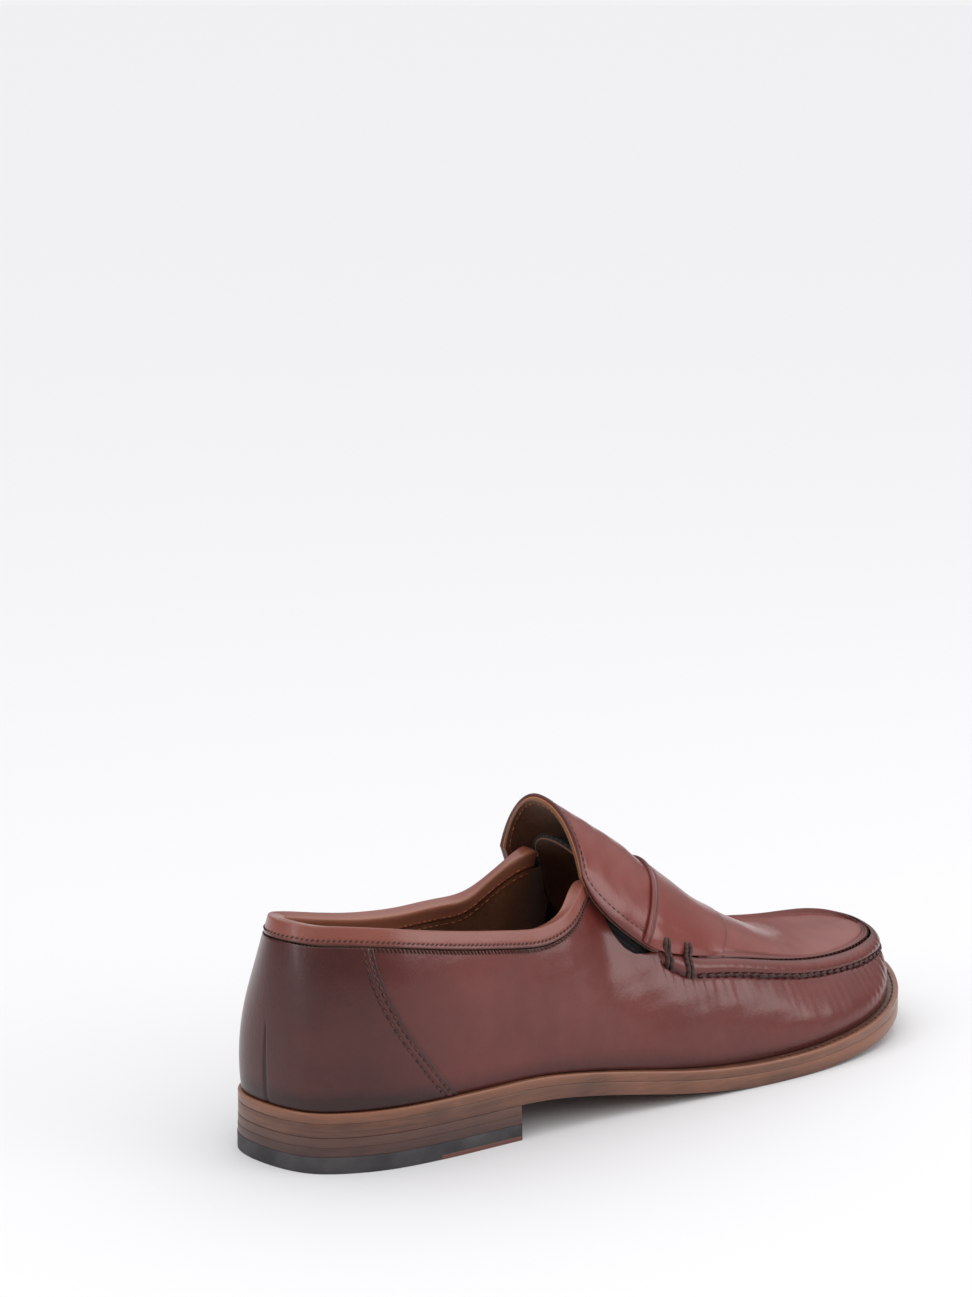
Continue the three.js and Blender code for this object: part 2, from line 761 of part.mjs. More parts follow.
const strapFront = (side) => 7.6 - 0.9 * side ** 2;
add("saddle_strap", "upper", instepSheet({
  face: instepFace,
  start: strapBack,
  end: strapFront,
  reach: (row) => lerp(1, 0.9, smoothstep(row, 4.5, 5.4)),
  depth: -(strapThickness + strapLift),
  thickness: strapThickness,
}));
add("elastic_gore", "gore", instepSheet({
  face: goreFace,
  start: () => 0,
  end: () => goreRows.length - 1,
  thickness: goreThickness,
  along: 4,
}));

// Threads: the apron seam, and the lashing that holds each end of the strap.
const seamHeight = 0.86;
const seamPath = range(50).map((f) =>
  wall(lerp(seamStart + 0.35, stationCount - seamStart - 0.35, f), seamHeight, -threadRadius - fitGap),
);
add("apron_thread", "thread", thread(seamPath, threadRadius, 5, 60));
function lashing(centre, direction) {
  const spacing = 0.17;
  const low = 0.8;
  const high = 0.95;
  const passes = range(lashingWraps - 1).flatMap((f, i) => {
    const station = centre + direction * (f * (lashingWraps - 1) - (lashingWraps - 1) / 2) * spacing;
    const ends = i % 2 ? [high, low] : [low, high];
    const stand = -lashingRadius - fitGap;
    return range(3).map((g) => wall(station, lerp(ends[0], ends[1], g), stand));
  });
  return thread(passes, lashingRadius, 6, 36);
}
const lashingStation = 10.15;
add("lashing_outer", "thread", lashing(lashingStation, 1));
add("lashing_inner", "thread", lashing(stationCount - lashingStation, -1));

export default loafer;
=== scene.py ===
# A burnished calf penny loafer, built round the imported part, in metres: +X to the toe, +Y to the
# inner side, +Z up. Shapes are worked out in millimetres and carried to metres as each mesh is made.
import math

import bmesh
import bpy
import numpy as np
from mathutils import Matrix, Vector


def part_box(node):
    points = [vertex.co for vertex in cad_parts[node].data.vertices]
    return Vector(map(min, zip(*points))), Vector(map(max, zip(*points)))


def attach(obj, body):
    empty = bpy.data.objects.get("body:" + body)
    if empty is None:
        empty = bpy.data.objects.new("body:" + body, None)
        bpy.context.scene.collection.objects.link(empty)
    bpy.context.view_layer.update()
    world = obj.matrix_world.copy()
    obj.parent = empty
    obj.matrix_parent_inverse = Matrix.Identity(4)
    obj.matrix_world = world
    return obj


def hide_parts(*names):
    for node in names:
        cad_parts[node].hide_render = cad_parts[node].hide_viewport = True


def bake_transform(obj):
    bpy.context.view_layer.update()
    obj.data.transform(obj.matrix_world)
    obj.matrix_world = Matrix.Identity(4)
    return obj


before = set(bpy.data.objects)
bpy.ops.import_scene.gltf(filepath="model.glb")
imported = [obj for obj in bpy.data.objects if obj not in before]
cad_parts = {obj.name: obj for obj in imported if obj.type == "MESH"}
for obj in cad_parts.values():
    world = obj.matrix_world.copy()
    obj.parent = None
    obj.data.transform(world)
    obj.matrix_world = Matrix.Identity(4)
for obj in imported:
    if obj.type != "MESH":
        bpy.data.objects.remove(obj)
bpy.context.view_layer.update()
bpy.ops.object.select_all(action="DESELECT")
mm = 0.001

# the shoe's form, the same curves as the part's source
shoe = {
    "length": 300, "width": 103, "board": 2.5,
    "heelHeight": 12.8, "heelLength": 84.8, "ballPlace": 203, "toeSpring": 11.8,
    "outsole": 5, "welt": 3.5, "gap": 0.3,
    "upper": 1.8, "layerGap": 0.5,
    "heelFeather": 2, "toeFeather": 4.5,
    "collarEnd": 8.1,
}
# sole edge x, y; top edge x, y, height above the sole; how far the wall swells low down and high up
stations = [
    [0, 3, 6, 0, 65.9, 3, 4],
    [4.5, -15, 11, -13, 65.4, 3, 5],
    [15, -25.5, 19, -21.5, 65.4, 4, 6],
    [33, -33, 33, -28.5, 63.7, 5, 7],
    [58, -36.5, 56, -32, 59.4, 4, 7],
    [82, -38, 80, -33, 55.4, 3, 6],
    [104, -39.7, 99, -32.3, 53.8, 2, 6],
    [122, -41.5, 116, -29, 60.2, 2, 6],
    [138, -43.5, 130, -21.5, 68, 2, 6],
    [152, -45.7, 143, -26, 59.4, 2, 6],
    [168, -47.8, 163, -33, 43, 2, 6],
    [190, -50.2, 186, -35, 38.7, 2, 6],
    [214, -51.9, 212, -35, 33.4, 2, 6],
    [238, -50.8, 236, -32, 27.7, 2, 6],
    [262, -45.5, 258, -27.5, 23.2, 1.5, 5],
    [282, -33.5, 275, -21.5, 20.1, 1, 4],
    [295, -17, 287, -13, 17.9, 1, 3.5],
    [300, -1, 291.5, -1, 18.1, 1, 3.5],
    [296, 18, 288.5, 9, 20.3, 1, 3.5],
    [284, 33, 279, 18, 23.2, 1, 4],
    [264, 44.5, 262, 25.5, 25.5, 1.5, 5],
    [240, 50.4, 239, 31, 29.9, 2, 6],
    [215, 50.8, 214, 35.5, 34.6, 2, 6],
    [190, 47.8, 188, 37, 39.3, 2, 6],
    [168, 43.3, 165, 35.5, 43.2, 2, 6],
    [152, 40.2, 145, 27, 59.7, 2, 6],
    [138, 37.8, 129, 14, 73, 2, 6],
    [122, 35.6, 115, 24.5, 56.8, 2, 6],
    [104, 34.6, 100, 29, 50.9, 2, 6],
    [82, 34.5, 80, 28.5, 50.4, 3, 6],
    [58, 35, 56, 25.5, 53.4, 4, 7],
    [36, 35, 35, 20.5, 58.4, 5, 7],
    [17, 30.5, 19, 17, 62.4, 4, 6],
    [3, 20.5, 11, 11, 64.4, 3, 5],
]
# across the instep: crest x, y, height; outer edge; inner edge; angle of the arch
tongueRows = [
    [127, 3, 95.1, 124.5, -25, 69.3, 126, 24, 71.3, 68],
    [133, 3, 92.2, 126.5, -27, 63.6, 129.5, 26, 66.2, 72],
    [140, 3, 88.9, 130, -29.5, 58.2, 133.5, 28.5, 61, 76],
    [150, 2.5, 83.7, 137, -32, 51.9, 140, 31.5, 54.3, 78],
    [160, 2, 78.5, 146, -34, 45.9, 147.5, 34.5, 47.7, 78],
    [170, 2, 71.4, 155, -36, 42.3, 156.5, 38.2, 43.4, 77],
]
# over the toes, where the edges lie inside the wall's top: station, crest x, y, height, angle
apronRows = [
    [10.6, 182, 2, 63.6, 75],
    [11.2, 195, 2, 54.9, 70],
    [12, 214, 2, 44.2, 64],
    [13, 238, 2, 32.2, 58],
    [14, 259, 1, 26, 55],
    [15, 276, 0, 22.2, 52],
    [16, 286.5, 0, 19.3, 50],
    [16.9, 289, 0, 17.3, 50],
]
# the elastic under the tongue: crest x, y, height, angle
goreRows = [[132, 3, 79.5, 75], [149, 2.5, 76, 75], [163, 2, 67.5, 75]]
goreReach = [8.75, 9.9]
count = len(stations)


def smoothStep(x, low, high):
    f = np.clip((np.asarray(x, float) - low) / (high - low), 0, 1)
    return f * f * (3 - 2 * f)


def mixed(a, b, f):
    return a + (b - a) * f


# a cubic B-spline through rows of numbers, one unit of its place from each row to the next
def smoothRows(rows, closed):
    rows = np.array(rows, float)
    total = len(rows)
    controls = rows.copy()

    def at(place):
        place = np.asarray(place, float)
        start = np.floor(place).astype(int)
        if closed:
            padded = controls
            pick = lambda j: padded[(start - 1 + j) % total]
        else:
            start = np.clip(start, 0, total - 2)
            before = 2 * controls[0] - controls[1]
            after = 2 * controls[-1] - controls[-2]
            padded = np.vstack([before, controls, after])
            pick = lambda j: padded[start + j]
        f = (place - start)[..., None]
        weights = [
            (1 - f) ** 3 / 6,
            (3 * f ** 3 - 6 * f ** 2 + 4) / 6,
            (-3 * f ** 3 + 3 * f ** 2 + 3 * f + 1) / 6,
            f ** 3 / 6,
        ]
        return sum(weight * pick(j) for j, weight in enumerate(weights))

    for _ in range(30):
        controls += rows - at(np.arange(total))
    return at


drawnRing = smoothRows(stations, True)
drawnEdge = drawnRing(np.linspace(0, count, count * 12 + 1))[:, :2]
drawnMiddle = (drawnEdge.min(0) + drawnEdge.max(0)) / 2
drawnSize = drawnEdge.max(0) - drawnEdge.min(0)
heelBreast = shoe["heelLength"] - shoe["length"] / 2


def placeX(x):
    return (x - drawnMiddle[0]) * shoe["length"] / drawnSize[0]


def placeY(y):
    return (y - drawnMiddle[1]) * shoe["width"] / drawnSize[1]


# the sole's underside: level at the heel, down through the waist to the ball, up to the toe
def underside(x):
    along = np.asarray(x, float) + shoe["length"] / 2
    waist = shoe["ballPlace"] - shoe["heelLength"]
    back = np.clip((shoe["ballPlace"] - along) / waist, 0, 1) ** 1.12
    front = np.clip((along - shoe["ballPlace"]) / (shoe["length"] - shoe["ballPlace"]), 0, 2)
    return shoe["heelHeight"] * smoothStep(back, 0, 1) + shoe["toeSpring"] * front ** 2.24


def outsoleTop(x):
    return underside(x) + shoe["outsole"]


def soleTop(x):
    return outsoleTop(x) + shoe["gap"] + shoe["welt"]


def onSole(x, y, height):
    placed = placeX(np.asarray(x, float))
    return np.stack([placed, placeY(np.asarray(y, float)), soleTop(placed) + height], -1)


def unit(v):
    return v / np.maximum(np.linalg.norm(v, axis=-1, keepdims=True), 1e-12)


def edgeAt(station):
    row = drawnRing(station)
    return np.stack([placeX(row[..., 0]), placeY(row[..., 1])], -1)


def inwards(station):
    along = unit(edgeAt(station + 0.02) - edgeAt(station - 0.02))
    return np.stack([-along[..., 1], along[..., 0]], -1)


def insetEdge(station, inset):
    return edgeAt(station) + inwards(station) * np.asarray(inset, float)[..., None]


# the outer face of the side wall: station round the shoe, 0 at the sole to 1 at the top edge
def wallFace(station, up):
    station, up = np.broadcast_arrays(np.asarray(station, float), np.asarray(up, float))
    row = drawnRing(station)
    edge = edgeAt(station)
    out = -inwards(station)
    ball = placeX(shoe["ballPlace"])
    feather = mixed(shoe["heelFeather"], shoe["toeFeather"], smoothStep(edge[..., 0], heelBreast, ball))
    foot = edge - out * feather[..., None]
    top = onSole(row[..., 2], row[..., 3], row[..., 4])
    low = soleTop(foot[..., 0]) + shoe["gap"]
    rise = top[..., 2] - low
    zero = np.zeros(station.shape)
    out3 = np.stack([out[..., 0], out[..., 1], zero], -1)
    foot3 = np.stack([foot[..., 0], foot[..., 1], low], -1)
    lift = lambda z: np.stack([zero, zero, z], -1)
    controls = [
        foot3,
        foot3 + out3 * row[..., 5:6] + lift(rise * 0.38),
        top + out3 * row[..., 6:7] - lift(rise * 0.32),
        top,
    ]
    down = 1 - up
    weights = [down ** 3, 3 * down ** 2 * up, 3 * down * up ** 2, up ** 3]
    return sum(c * w[..., None] for c, w in zip(controls, weights))


def wallNormal(station, up):
    step = 0.02
    around = wallFace(station + step, up) - wallFace(station - step, up)
    climb = wallFace(station, up + step) - wallFace(station, up - step)
    normal = unit(np.cross(around, climb))
    normal[..., 2] *= np.clip(np.broadcast_to(up, normal.shape[:-1]) / 0.15, 0, 1)
    return unit(normal)


def wall(station, up, depth):
    station, up = np.broadcast_arrays(np.asarray(station, float), np.asarray(up, float))
    depth = np.broadcast_to(np.asarray(depth, float), station.shape)
    return wallFace(station, up) - wallNormal(station, up) * depth[..., None]


def fromHeelBack(station):
    away = np.asarray(station, float) % count
    return np.minimum(away, count - away)


# the share of the wall's height that lies the given distance below its top edge
def below(station, drop):
    station = np.asarray(station, float)
    top = wallFace(station, np.ones(station.shape))
    low, high = np.zeros(station.shape), np.ones(station.shape)
    for _ in range(16):
        middle = (low + high) / 2
        far = np.linalg.norm(wallFace(station, middle) - top, axis=-1) > drop
        low, high = np.where(far, middle, low), np.where(far, high, middle)
    return low


def wallDrop(station, up):
    station, up = np.broadcast_arrays(np.asarray(station, float), np.asarray(up, float))
    return np.linalg.norm(wallFace(station, up) - wallFace(station, np.ones(up.shape)), axis=-1)


# an arch across the foot: 0 at the crest, -1 at the outer edge, 1 at the inner edge
def archFace(rowsAt):
    def face(along, across):
        along, across = np.broadcast_arrays(np.asarray(along, float), np.asarray(across, float))
        row = rowsAt(along)
        crest = row[..., :3]
        edge = np.where(across[..., None] < 0, row[..., 3:6], row[..., 6:9])
        full = np.radians(row[..., 9])
        share = np.abs(across)
        sideways = np.sin(full * share) / np.sin(full)
        downwards = (1 - np.cos(full * share)) / (1 - np.cos(full))
        shares = np.stack([downwards, sideways, downwards], -1)
        return crest + (edge - crest) * shares

    def at(along, across, depth):
        along, across = np.broadcast_arrays(np.asarray(along, float), np.asarray(across, float))
        step = 0.01
        ahead = face(along + step, across) - face(along - step, across)
        low = np.clip(across - step, -1, 1)
        high = np.clip(across + step, -1, 1)
        normal = unit(np.cross(ahead, face(along, high) - face(along, low)))
        return face(along, across) - normal * np.broadcast_to(depth, along.shape)[..., None]

    return at


def insideWall(station):
    return wall(station, 1.0, shoe["upper"] + shoe["layerGap"])


instep = archFace(smoothRows(
    [
        [*onSole(*row[:3]), *onSole(*row[3:6]), *onSole(*row[6:9]), row[9]]
        for row in tongueRows
    ] + [
        [*onSole(x, y, height), *insideWall(station), *insideWall(count - station), angle]
        for station, x, y, height, angle in apronRows
    ],
    False,
))
instepEnd = len(tongueRows) + len(apronRows) - 1
gore = archFace(smoothRows(
    [
        [
            *onSole(x, y, height),
            *insideWall(mixed(*goreReach, i / 2)),
            *insideWall(count - mixed(*goreReach, i / 2)),
            angle,
        ]
        for i, (x, y, height, angle) in enumerate(goreRows)
    ],
    False,
))


# a smooth wandering number from -1 to 1 at each point, the same each run
def wander(points, size, seed):
    chance = np.random.default_rng(seed)
    total = np.zeros(points.shape[:-1])
    waves = 7
    for _ in range(waves):
        heading = unit(chance.normal(size=3))
        length = size * chance.uniform(0.7, 1.6)
        total += np.sin(points @ heading * (2 * math.pi / length) + chance.uniform(0, 2 * math.pi))
    return total / math.sqrt(waves / 2) / 2


def bump(x, middle, width):
    return np.exp(-(((x - middle) / width) ** 2))


# making meshes
def take(obj):
    bpy.ops.object.select_all(action="DESELECT")
    obj.select_set(True)
    bpy.context.view_layer.objects.active = obj


def applyModifier(obj, kind, **settings):
    take(obj)
    modifier = obj.modifiers.new(kind.title(), kind)
    for key, value in settings.items():
        setattr(modifier, key, value)
    bpy.ops.object.modifier_apply(modifier=modifier.name)


def smooth(obj, angle=40):
    take(obj)
    bpy.ops.object.shade_smooth_by_angle(angle=math.radians(angle))


def paint(obj, name, values):
    attribute = obj.data.attributes.get(name) or obj.data.attributes.new(name, "FLOAT", "POINT")
    attribute.data.foreach_set("value", np.asarray(values, np.float32).ravel())


# a flat grid is added, and place(a, b) carries its corners onto the shoe, in millimetres
def layGrid(name, columns, rows, place, shade=None):
    bpy.ops.object.select_all(action="DESELECT")
    bpy.ops.mesh.primitive_grid_add(x_subdivisions=columns, y_subdivisions=rows, size=2)
    piece = bpy.context.object
    piece.name = name
    piece.data.name = name
    flat = np.empty(len(piece.data.vertices) * 3, np.float32)
    piece.data.vertices.foreach_get("co", flat)
    flat = flat.reshape(-1, 3).astype(float)
    a = np.round((flat[:, 0] + 1) / 2, 7)
    b = np.round((flat[:, 1] + 1) / 2, 7)
    points = place(a, b)
    piece.data.vertices.foreach_set("co", (points * mm).astype(np.float32).ravel())
    if shade is not None:
        paint(piece, "burnishAndPaintedLight", shade(a, b, points))
    web = points.reshape(rows + 1, columns + 1, 3)
    across = np.linalg.norm(np.diff(web, axis=1), axis=-1).mean(0)
    upwards = np.linalg.norm(np.diff(web, axis=0), axis=-1).mean(1)
    acrossAt = np.concatenate([[0], np.cumsum(across)]) * mm
    upwardsAt = np.concatenate([[0], np.cumsum(upwards)]) * mm
    corner = np.empty(len(piece.data.loops), np.int32)
    piece.data.loops.foreach_get("vertex_index", corner)
    unwrap = np.stack([acrossAt[corner % (columns + 1)], upwardsAt[corner // (columns + 1)]], -1)
    piece.data.uv_layers[0].data.foreach_set("uv", unwrap.astype(np.float32).ravel())
    piece.data.update()
    return piece


# the sheet is given its thickness inwards and its cut edges are eased
def thicken(piece, thickness, edge=0.35, segments=2):
    applyModifier(piece, "SOLIDIFY", thickness=thickness * mm, offset=-1, use_even_offset=False)
    if edge:
        applyModifier(
            piece, "BEVEL", width=edge * mm, segments=segments, limit_method="ANGLE",
            angle_limit=math.radians(50), use_clamp_overlap=True,
        )
    smooth(piece)
    return piece


# rows that meet are joined and open ends are closed, so that the piece is one closed body
def closeUp(piece, merge=0.002):
    take(piece)
    bpy.ops.object.mode_set(mode="EDIT")
    bpy.ops.mesh.select_all(action="SELECT")
    bpy.ops.mesh.remove_doubles(threshold=merge * mm)
    bpy.ops.mesh.select_all(action="DESELECT")
    bpy.ops.mesh.select_mode(type="EDGE")
    bpy.ops.mesh.select_non_manifold(extend=False, use_wire=False, use_multi_face=False,
                                     use_non_contiguous=False, use_verts=False)
    bpy.ops.mesh.fill_holes(sides=0)
    bpy.ops.mesh.select_all(action="SELECT")
    bpy.ops.mesh.normals_make_consistent(inside=False)
    bpy.ops.object.mode_set(mode="OBJECT")
    return piece


def finishPiece(piece, body, material, replaced=()):
    piece.data.materials.clear()
    piece.data.materials.append(material)
    if body:
        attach(piece, body)
    if replaced:
        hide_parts(*replaced)
    return piece


# stitches: one is modelled, and copies are laid along a path on the surface
bpy.ops.mesh.primitive_uv_sphere_add(segments=6, ring_count=5, radius=0.5)
stitchForm = bpy.context.object
stitchPoints = np.array([v.co for v in stitchForm.data.vertices], float)
stitchPoints = stitchPoints[:, [2, 0, 1]]  # its long way lies along x
stitchPoints[:, 0] = np.sign(stitchPoints[:, 0]) * np.abs(stitchPoints[:, 0] * 2) ** 0.6 / 2
stitchFaces = [list(p.vertices) for p in stitchForm.data.polygons]
bpy.data.objects.remove(stitchForm)


def alongPath(path, spacing):
    steps = np.linalg.norm(np.diff(path, axis=0), axis=1)
    reach = np.concatenate([[0], np.cumsum(steps)])
    number = max(int(reach[-1] / spacing), 1)
    places = (np.arange(number) + 0.5) * reach[-1] / number
    pick = lambda values, at: np.stack([np.interp(at, reach, values[:, k]) for k in range(3)], -1)
    return places, pick


def sewRow(name, path, normals, spacing, length, width, slant=0, sink=0.1):
    places, pick = alongPath(path, spacing)
    middle = pick(path, places)
    along = unit(pick(path, places + 0.2) - pick(path, places - 0.2))
    up = unit(pick(normals, places))
    across = unit(np.cross(up, along))
    turn = math.radians(slant)
    lengthwise = along * math.cos(turn) + across * math.sin(turn)
    sidewise = unit(np.cross(up, lengthwise))
    middle = middle + up * (width * (0.5 - sink))
    form = stitchPoints * [length, width, width * 0.8]
    points = (
        middle[:, None] + form[None, :, 0:1] * lengthwise[:, None]
        + form[None, :, 1:2] * sidewise[:, None] + form[None, :, 2:3] * up[:, None]
    )
    faces = [
        [corner + i * len(stitchPoints) for corner in face]
        for i in range(len(places)) for face in stitchFaces
    ]
    mesh = bpy.data.meshes.new(name)
    mesh.from_pydata((points.reshape(-1, 3) * mm).tolist(), [], faces)
    piece = bpy.data.objects.new(name, mesh)
    bpy.context.scene.collection.objects.link(piece)
    take(piece)
    bpy.ops.object.mode_set(mode="EDIT")
    bpy.ops.mesh.select_all(action="SELECT")
    bpy.ops.mesh.normals_make_consistent(inside=False)
    bpy.ops.object.mode_set(mode="OBJECT")
    bpy.ops.object.shade_smooth()
    return piece


# materials
def hexColour(text):
    parts = [int(text[i:i + 2], 16) / 255 for i in (1, 3, 5)]
    return tuple(p / 12.92 if p <= 0.04045 else ((p + 0.055) / 1.055) ** 2.4 for p in parts) + (1,)


def perMetre(millimetres):
    return 1000 / millimetres


def addNode(tree, kind, inputs=None, **settings):
    made = tree.nodes.new("ShaderNode" + kind)
    for key, value in settings.items():
        setattr(made, key, value)
    for key, value in (inputs or {}).items():
        if isinstance(value, bpy.types.NodeSocket):
            tree.links.new(value, made.inputs[key])
        else:
            made.inputs[key].default_value = value
    return made


def newFinish(name, **shaderInputs):
    material = bpy.data.materials.new(name)
    material.use_nodes = True
    tree = material.node_tree
    shader = tree.nodes["Principled BSDF"]
    for key, value in shaderInputs.items():
        shader.inputs[key.replace("_", " ")].default_value = value
    return material, tree, shader


def toneRamp(tree, shader, factor, low, lowAt, high, highAt):
    ramp = addNode(tree, "ValToRGB", {0: factor})
    stops = ramp.color_ramp.elements
    stops[0].color, stops[0].position = hexColour(low), lowAt
    stops[1].color, stops[1].position = hexColour(high), highAt
    tree.links.new(ramp.outputs["Color"], shader.inputs["Base Color"])
    return stops


def roughBetween(tree, shader, factor, low, high):
    spread = addNode(tree, "MapRange", {0: factor, 3: low, 4: high})
    tree.links.new(spread.outputs[0], shader.inputs["Roughness"])


def pressRelief(tree, shader, strength, distance, height):
    relief = addNode(tree, "Bump", {"Strength": strength, "Distance": distance, "Height": height})
    tree.links.new(relief.outputs[0], shader.inputs["Normal"])


# Burnished calf: drummed and glazed hide, waxed by hand. Darker where it is worked at the heel, toe and
# seams; the same tone attribute also carries painted shade in grooves, pleats, under the apron's lip and
# along the sole, and a painted highlight on the collar's rolled top. Glossy, with a fine pore grain that
# breaks the reflections up.
def burnishedCalf(name, light, middle, dark, gloss, coat):
    material, tree, shader = newFinish(
        name, IOR=1.42, Coat_Weight=coat, Coat_Roughness=0.16, Coat_IOR=1.45,
    )
    coords = addNode(tree, "TexCoord").outputs["Object"]
    burnishAndPaintedLight = addNode(tree, "Attribute", attribute_name="burnishAndPaintedLight").outputs["Fac"]
    cloud = addNode(tree, "TexNoise", {"Vector": coords, "Scale": perMetre(34), "Detail": 3.0,
                                       "Roughness": 0.55})
    mottle = addNode(tree, "TexNoise", {"Vector": coords, "Scale": perMetre(5), "Detail": 3.0})
    drift = addNode(tree, "MapRange", {0: cloud.outputs["Fac"], 1: 0.1, 2: 0.9, 3: -0.13, 4: 0.13})
    fleck = addNode(tree, "MapRange", {0: mottle.outputs["Fac"], 1: 0.1, 2: 0.9, 3: -0.05, 4: 0.05})
    depth = addNode(tree, "Math", {0: burnishAndPaintedLight, 1: drift.outputs[0]}, operation="ADD")
    depth = addNode(tree, "Math", {0: depth.outputs[0], 1: fleck.outputs[0]}, operation="ADD")
    stops = toneRamp(tree, shader, depth.outputs[0], light, 0.0, dark, 1.0)
    stops.new(0.45).color = hexColour(middle)
    wax = addNode(tree, "MapRange", {0: cloud.outputs["Fac"], 1: 0.1, 2: 0.9, 3: gloss - 0.05,
                                     4: gloss + 0.07})
    tree.links.new(wax.outputs[0], shader.inputs["Roughness"])
    pores = addNode(tree, "TexVoronoi", {"Vector": coords, "Scale": perMetre(0.9)})
    creases = addNode(tree, "TexNoise", {"Vector": coords, "Scale": perMetre(2.4), "Detail": 4.0,
                                         "Roughness": 0.6})
    fine = addNode(tree, "Bump", {"Strength": 0.12, "Distance": 0.00025,
                                  "Height": pores.outputs["Distance"]})
    relief = addNode(tree, "Bump", {"Strength": 0.22, "Distance": 0.0004,
                                    "Height": creases.outputs["Fac"], "Normal": fine.outputs[0]})
    tree.links.new(relief.outputs[0], shader.inputs["Normal"])
    return material


# Vegetable-tanned lining: unpolished tan kip, dry to the eye, with cloudy tone and a soft nap.
def tanLining(name, light, dark):
    material, tree, shader = newFinish(name, IOR=1.48, Sheen_Weight=0.15)
    coords = addNode(tree, "TexCoord").outputs["Object"]
    cloud = addNode(tree, "TexNoise", {"Vector": coords, "Scale": perMetre(26), "Detail": 5.0})
    fibre = addNode(tree, "TexNoise", {"Vector": coords, "Scale": perMetre(1.4), "Detail": 4.0})
    both = addNode(tree, "Mix", {0: 0.3, 2: cloud.outputs["Fac"], 3: fibre.outputs["Fac"]})
    toneRamp(tree, shader, both.outputs[0], dark, 0.34, light, 0.64)
    roughBetween(tree, shader, fibre.outputs["Fac"], 0.5, 0.72)
    pressRelief(tree, shader, 0.25, 0.0003, fibre.outputs["Fac"])
    return material


# Sole-leather edge: cut, sanded, inked and waxed. It shows the layers as fine level lines. Its tone also
# takes the painted highlight and shade laid on the welt and outsole.
def waxedEdge(name, light, dark, layer=0.7, rough=0.36):
    material, tree, shader = newFinish(name, IOR=1.5, Coat_Weight=0.2, Coat_Roughness=0.3)
    coords = addNode(tree, "TexCoord").outputs["Object"]
    flattened = addNode(tree, "Mapping", {"Vector": coords, "Scale": (0.05, 0.05, 1.0)})
    fibres = addNode(tree, "TexNoise", {"Vector": flattened.outputs[0], "Scale": perMetre(layer),
                                        "Detail": 3.0, "Roughness": 0.6})
    cloud = addNode(tree, "TexNoise", {"Vector": coords, "Scale": perMetre(22), "Detail": 3.0})
    burnishAndPaintedLight = addNode(tree, "Attribute", attribute_name="burnishAndPaintedLight").outputs["Fac"]
    both = addNode(tree, "Mix", {0: 0.5, 2: fibres.outputs["Fac"], 3: cloud.outputs["Fac"]})
    depth = addNode(tree, "Math", {0: both.outputs[0], 1: burnishAndPaintedLight}, operation="ADD")
    toneRamp(tree, shader, depth.outputs[0], light, 0.36, dark, 0.78)
    roughBetween(tree, shader, fibres.outputs["Fac"], rough - 0.06, rough + 0.1)
    pressRelief(tree, shader, 0.18, 0.0003, fibres.outputs["Fac"])
    return material


# Moulded heel rubber: black-grey, matt, with a fine pressed tooth.
def mouldedRubber(name, colour, worn):
    material, tree, shader = newFinish(name, IOR=1.5)
    coords = addNode(tree, "TexCoord").outputs["Object"]
    tooth = addNode(tree, "TexNoise", {"Vector": coords, "Scale": perMetre(0.8), "Detail": 4.0})
    dust = addNode(tree, "TexNoise", {"Vector": coords, "Scale": perMetre(14), "Detail": 4.0})
    toneRamp(tree, shader, dust.outputs["Fac"], colour, 0.4, worn, 0.75)
    roughBetween(tree, shader, tooth.outputs["Fac"], 0.5, 0.75)
    pressRelief(tree, shader, 0.3, 0.0002, tooth.outputs["Fac"])
    return material


# Waxed thread: twisted polyester, dull with a faint sheen. The twist is drawn at 0.8 mm to show.
def waxedThread(name, colour, deep):
    material, tree, shader = newFinish(name, IOR=1.45, Sheen_Weight=0.05)
    coords = addNode(tree, "TexCoord").outputs["Object"]
    twist = addNode(tree, "TexWave", {"Vector": coords, "Scale": perMetre(0.8) / 6, "Distortion": 2.0,
                                      "Detail": 2.0}, bands_direction="DIAGONAL")
    toneRamp(tree, shader, twist.outputs["Fac"], deep, 0.2, colour, 0.8)
    roughBetween(tree, shader, twist.outputs["Fac"], 0.55, 0.75)
    pressRelief(tree, shader, 0.4, 0.0002, twist.outputs["Fac"])
    return material


# Gusset elastic: black rubber cords under knitted yarn, matt, ribbed every 1.6 mm.
def ribbedElastic(name, colour, deep):
    material, tree, shader = newFinish(name, IOR=1.4, Sheen_Weight=0.05)
    unwrap = addNode(tree, "UVMap").outputs["UV"]
    ribs = addNode(tree, "TexWave", {"Vector": unwrap, "Scale": perMetre(1.6) / (2 * math.pi),
                                     "Distortion": 0.4, "Detail": 1.0}, bands_direction="Y")
    yarn = addNode(tree, "TexNoise", {"Vector": unwrap, "Scale": perMetre(0.5), "Detail": 2.0})
    both = addNode(tree, "Mix", {0: 0.35, 2: ribs.outputs["Fac"], 3: yarn.outputs["Fac"]})
    toneRamp(tree, shader, both.outputs[0], deep, 0.2, colour, 0.8)
    shader.inputs["Roughness"].default_value = 0.8
    pressRelief(tree, shader, 0.6, 0.0004, both.outputs[0])
    return material


# Inner stuffs seen only when the shoe is cut open: cork, foam and board, each matt and granular.
def crumbly(name, light, dark, grit, rough):
    material, tree, shader = newFinish(name, IOR=1.4)
    coords = addNode(tree, "TexCoord").outputs["Object"]
    grains = addNode(tree, "TexVoronoi", {"Vector": coords, "Scale": perMetre(grit)})
    toneRamp(tree, shader, grains.outputs["Distance"], light, 0.2, dark, 0.8)
    roughBetween(tree, shader, grains.outputs["Distance"], rough - 0.1, rough)
    pressRelief(tree, shader, 0.4, 0.0003, grains.outputs["Distance"])
    return material


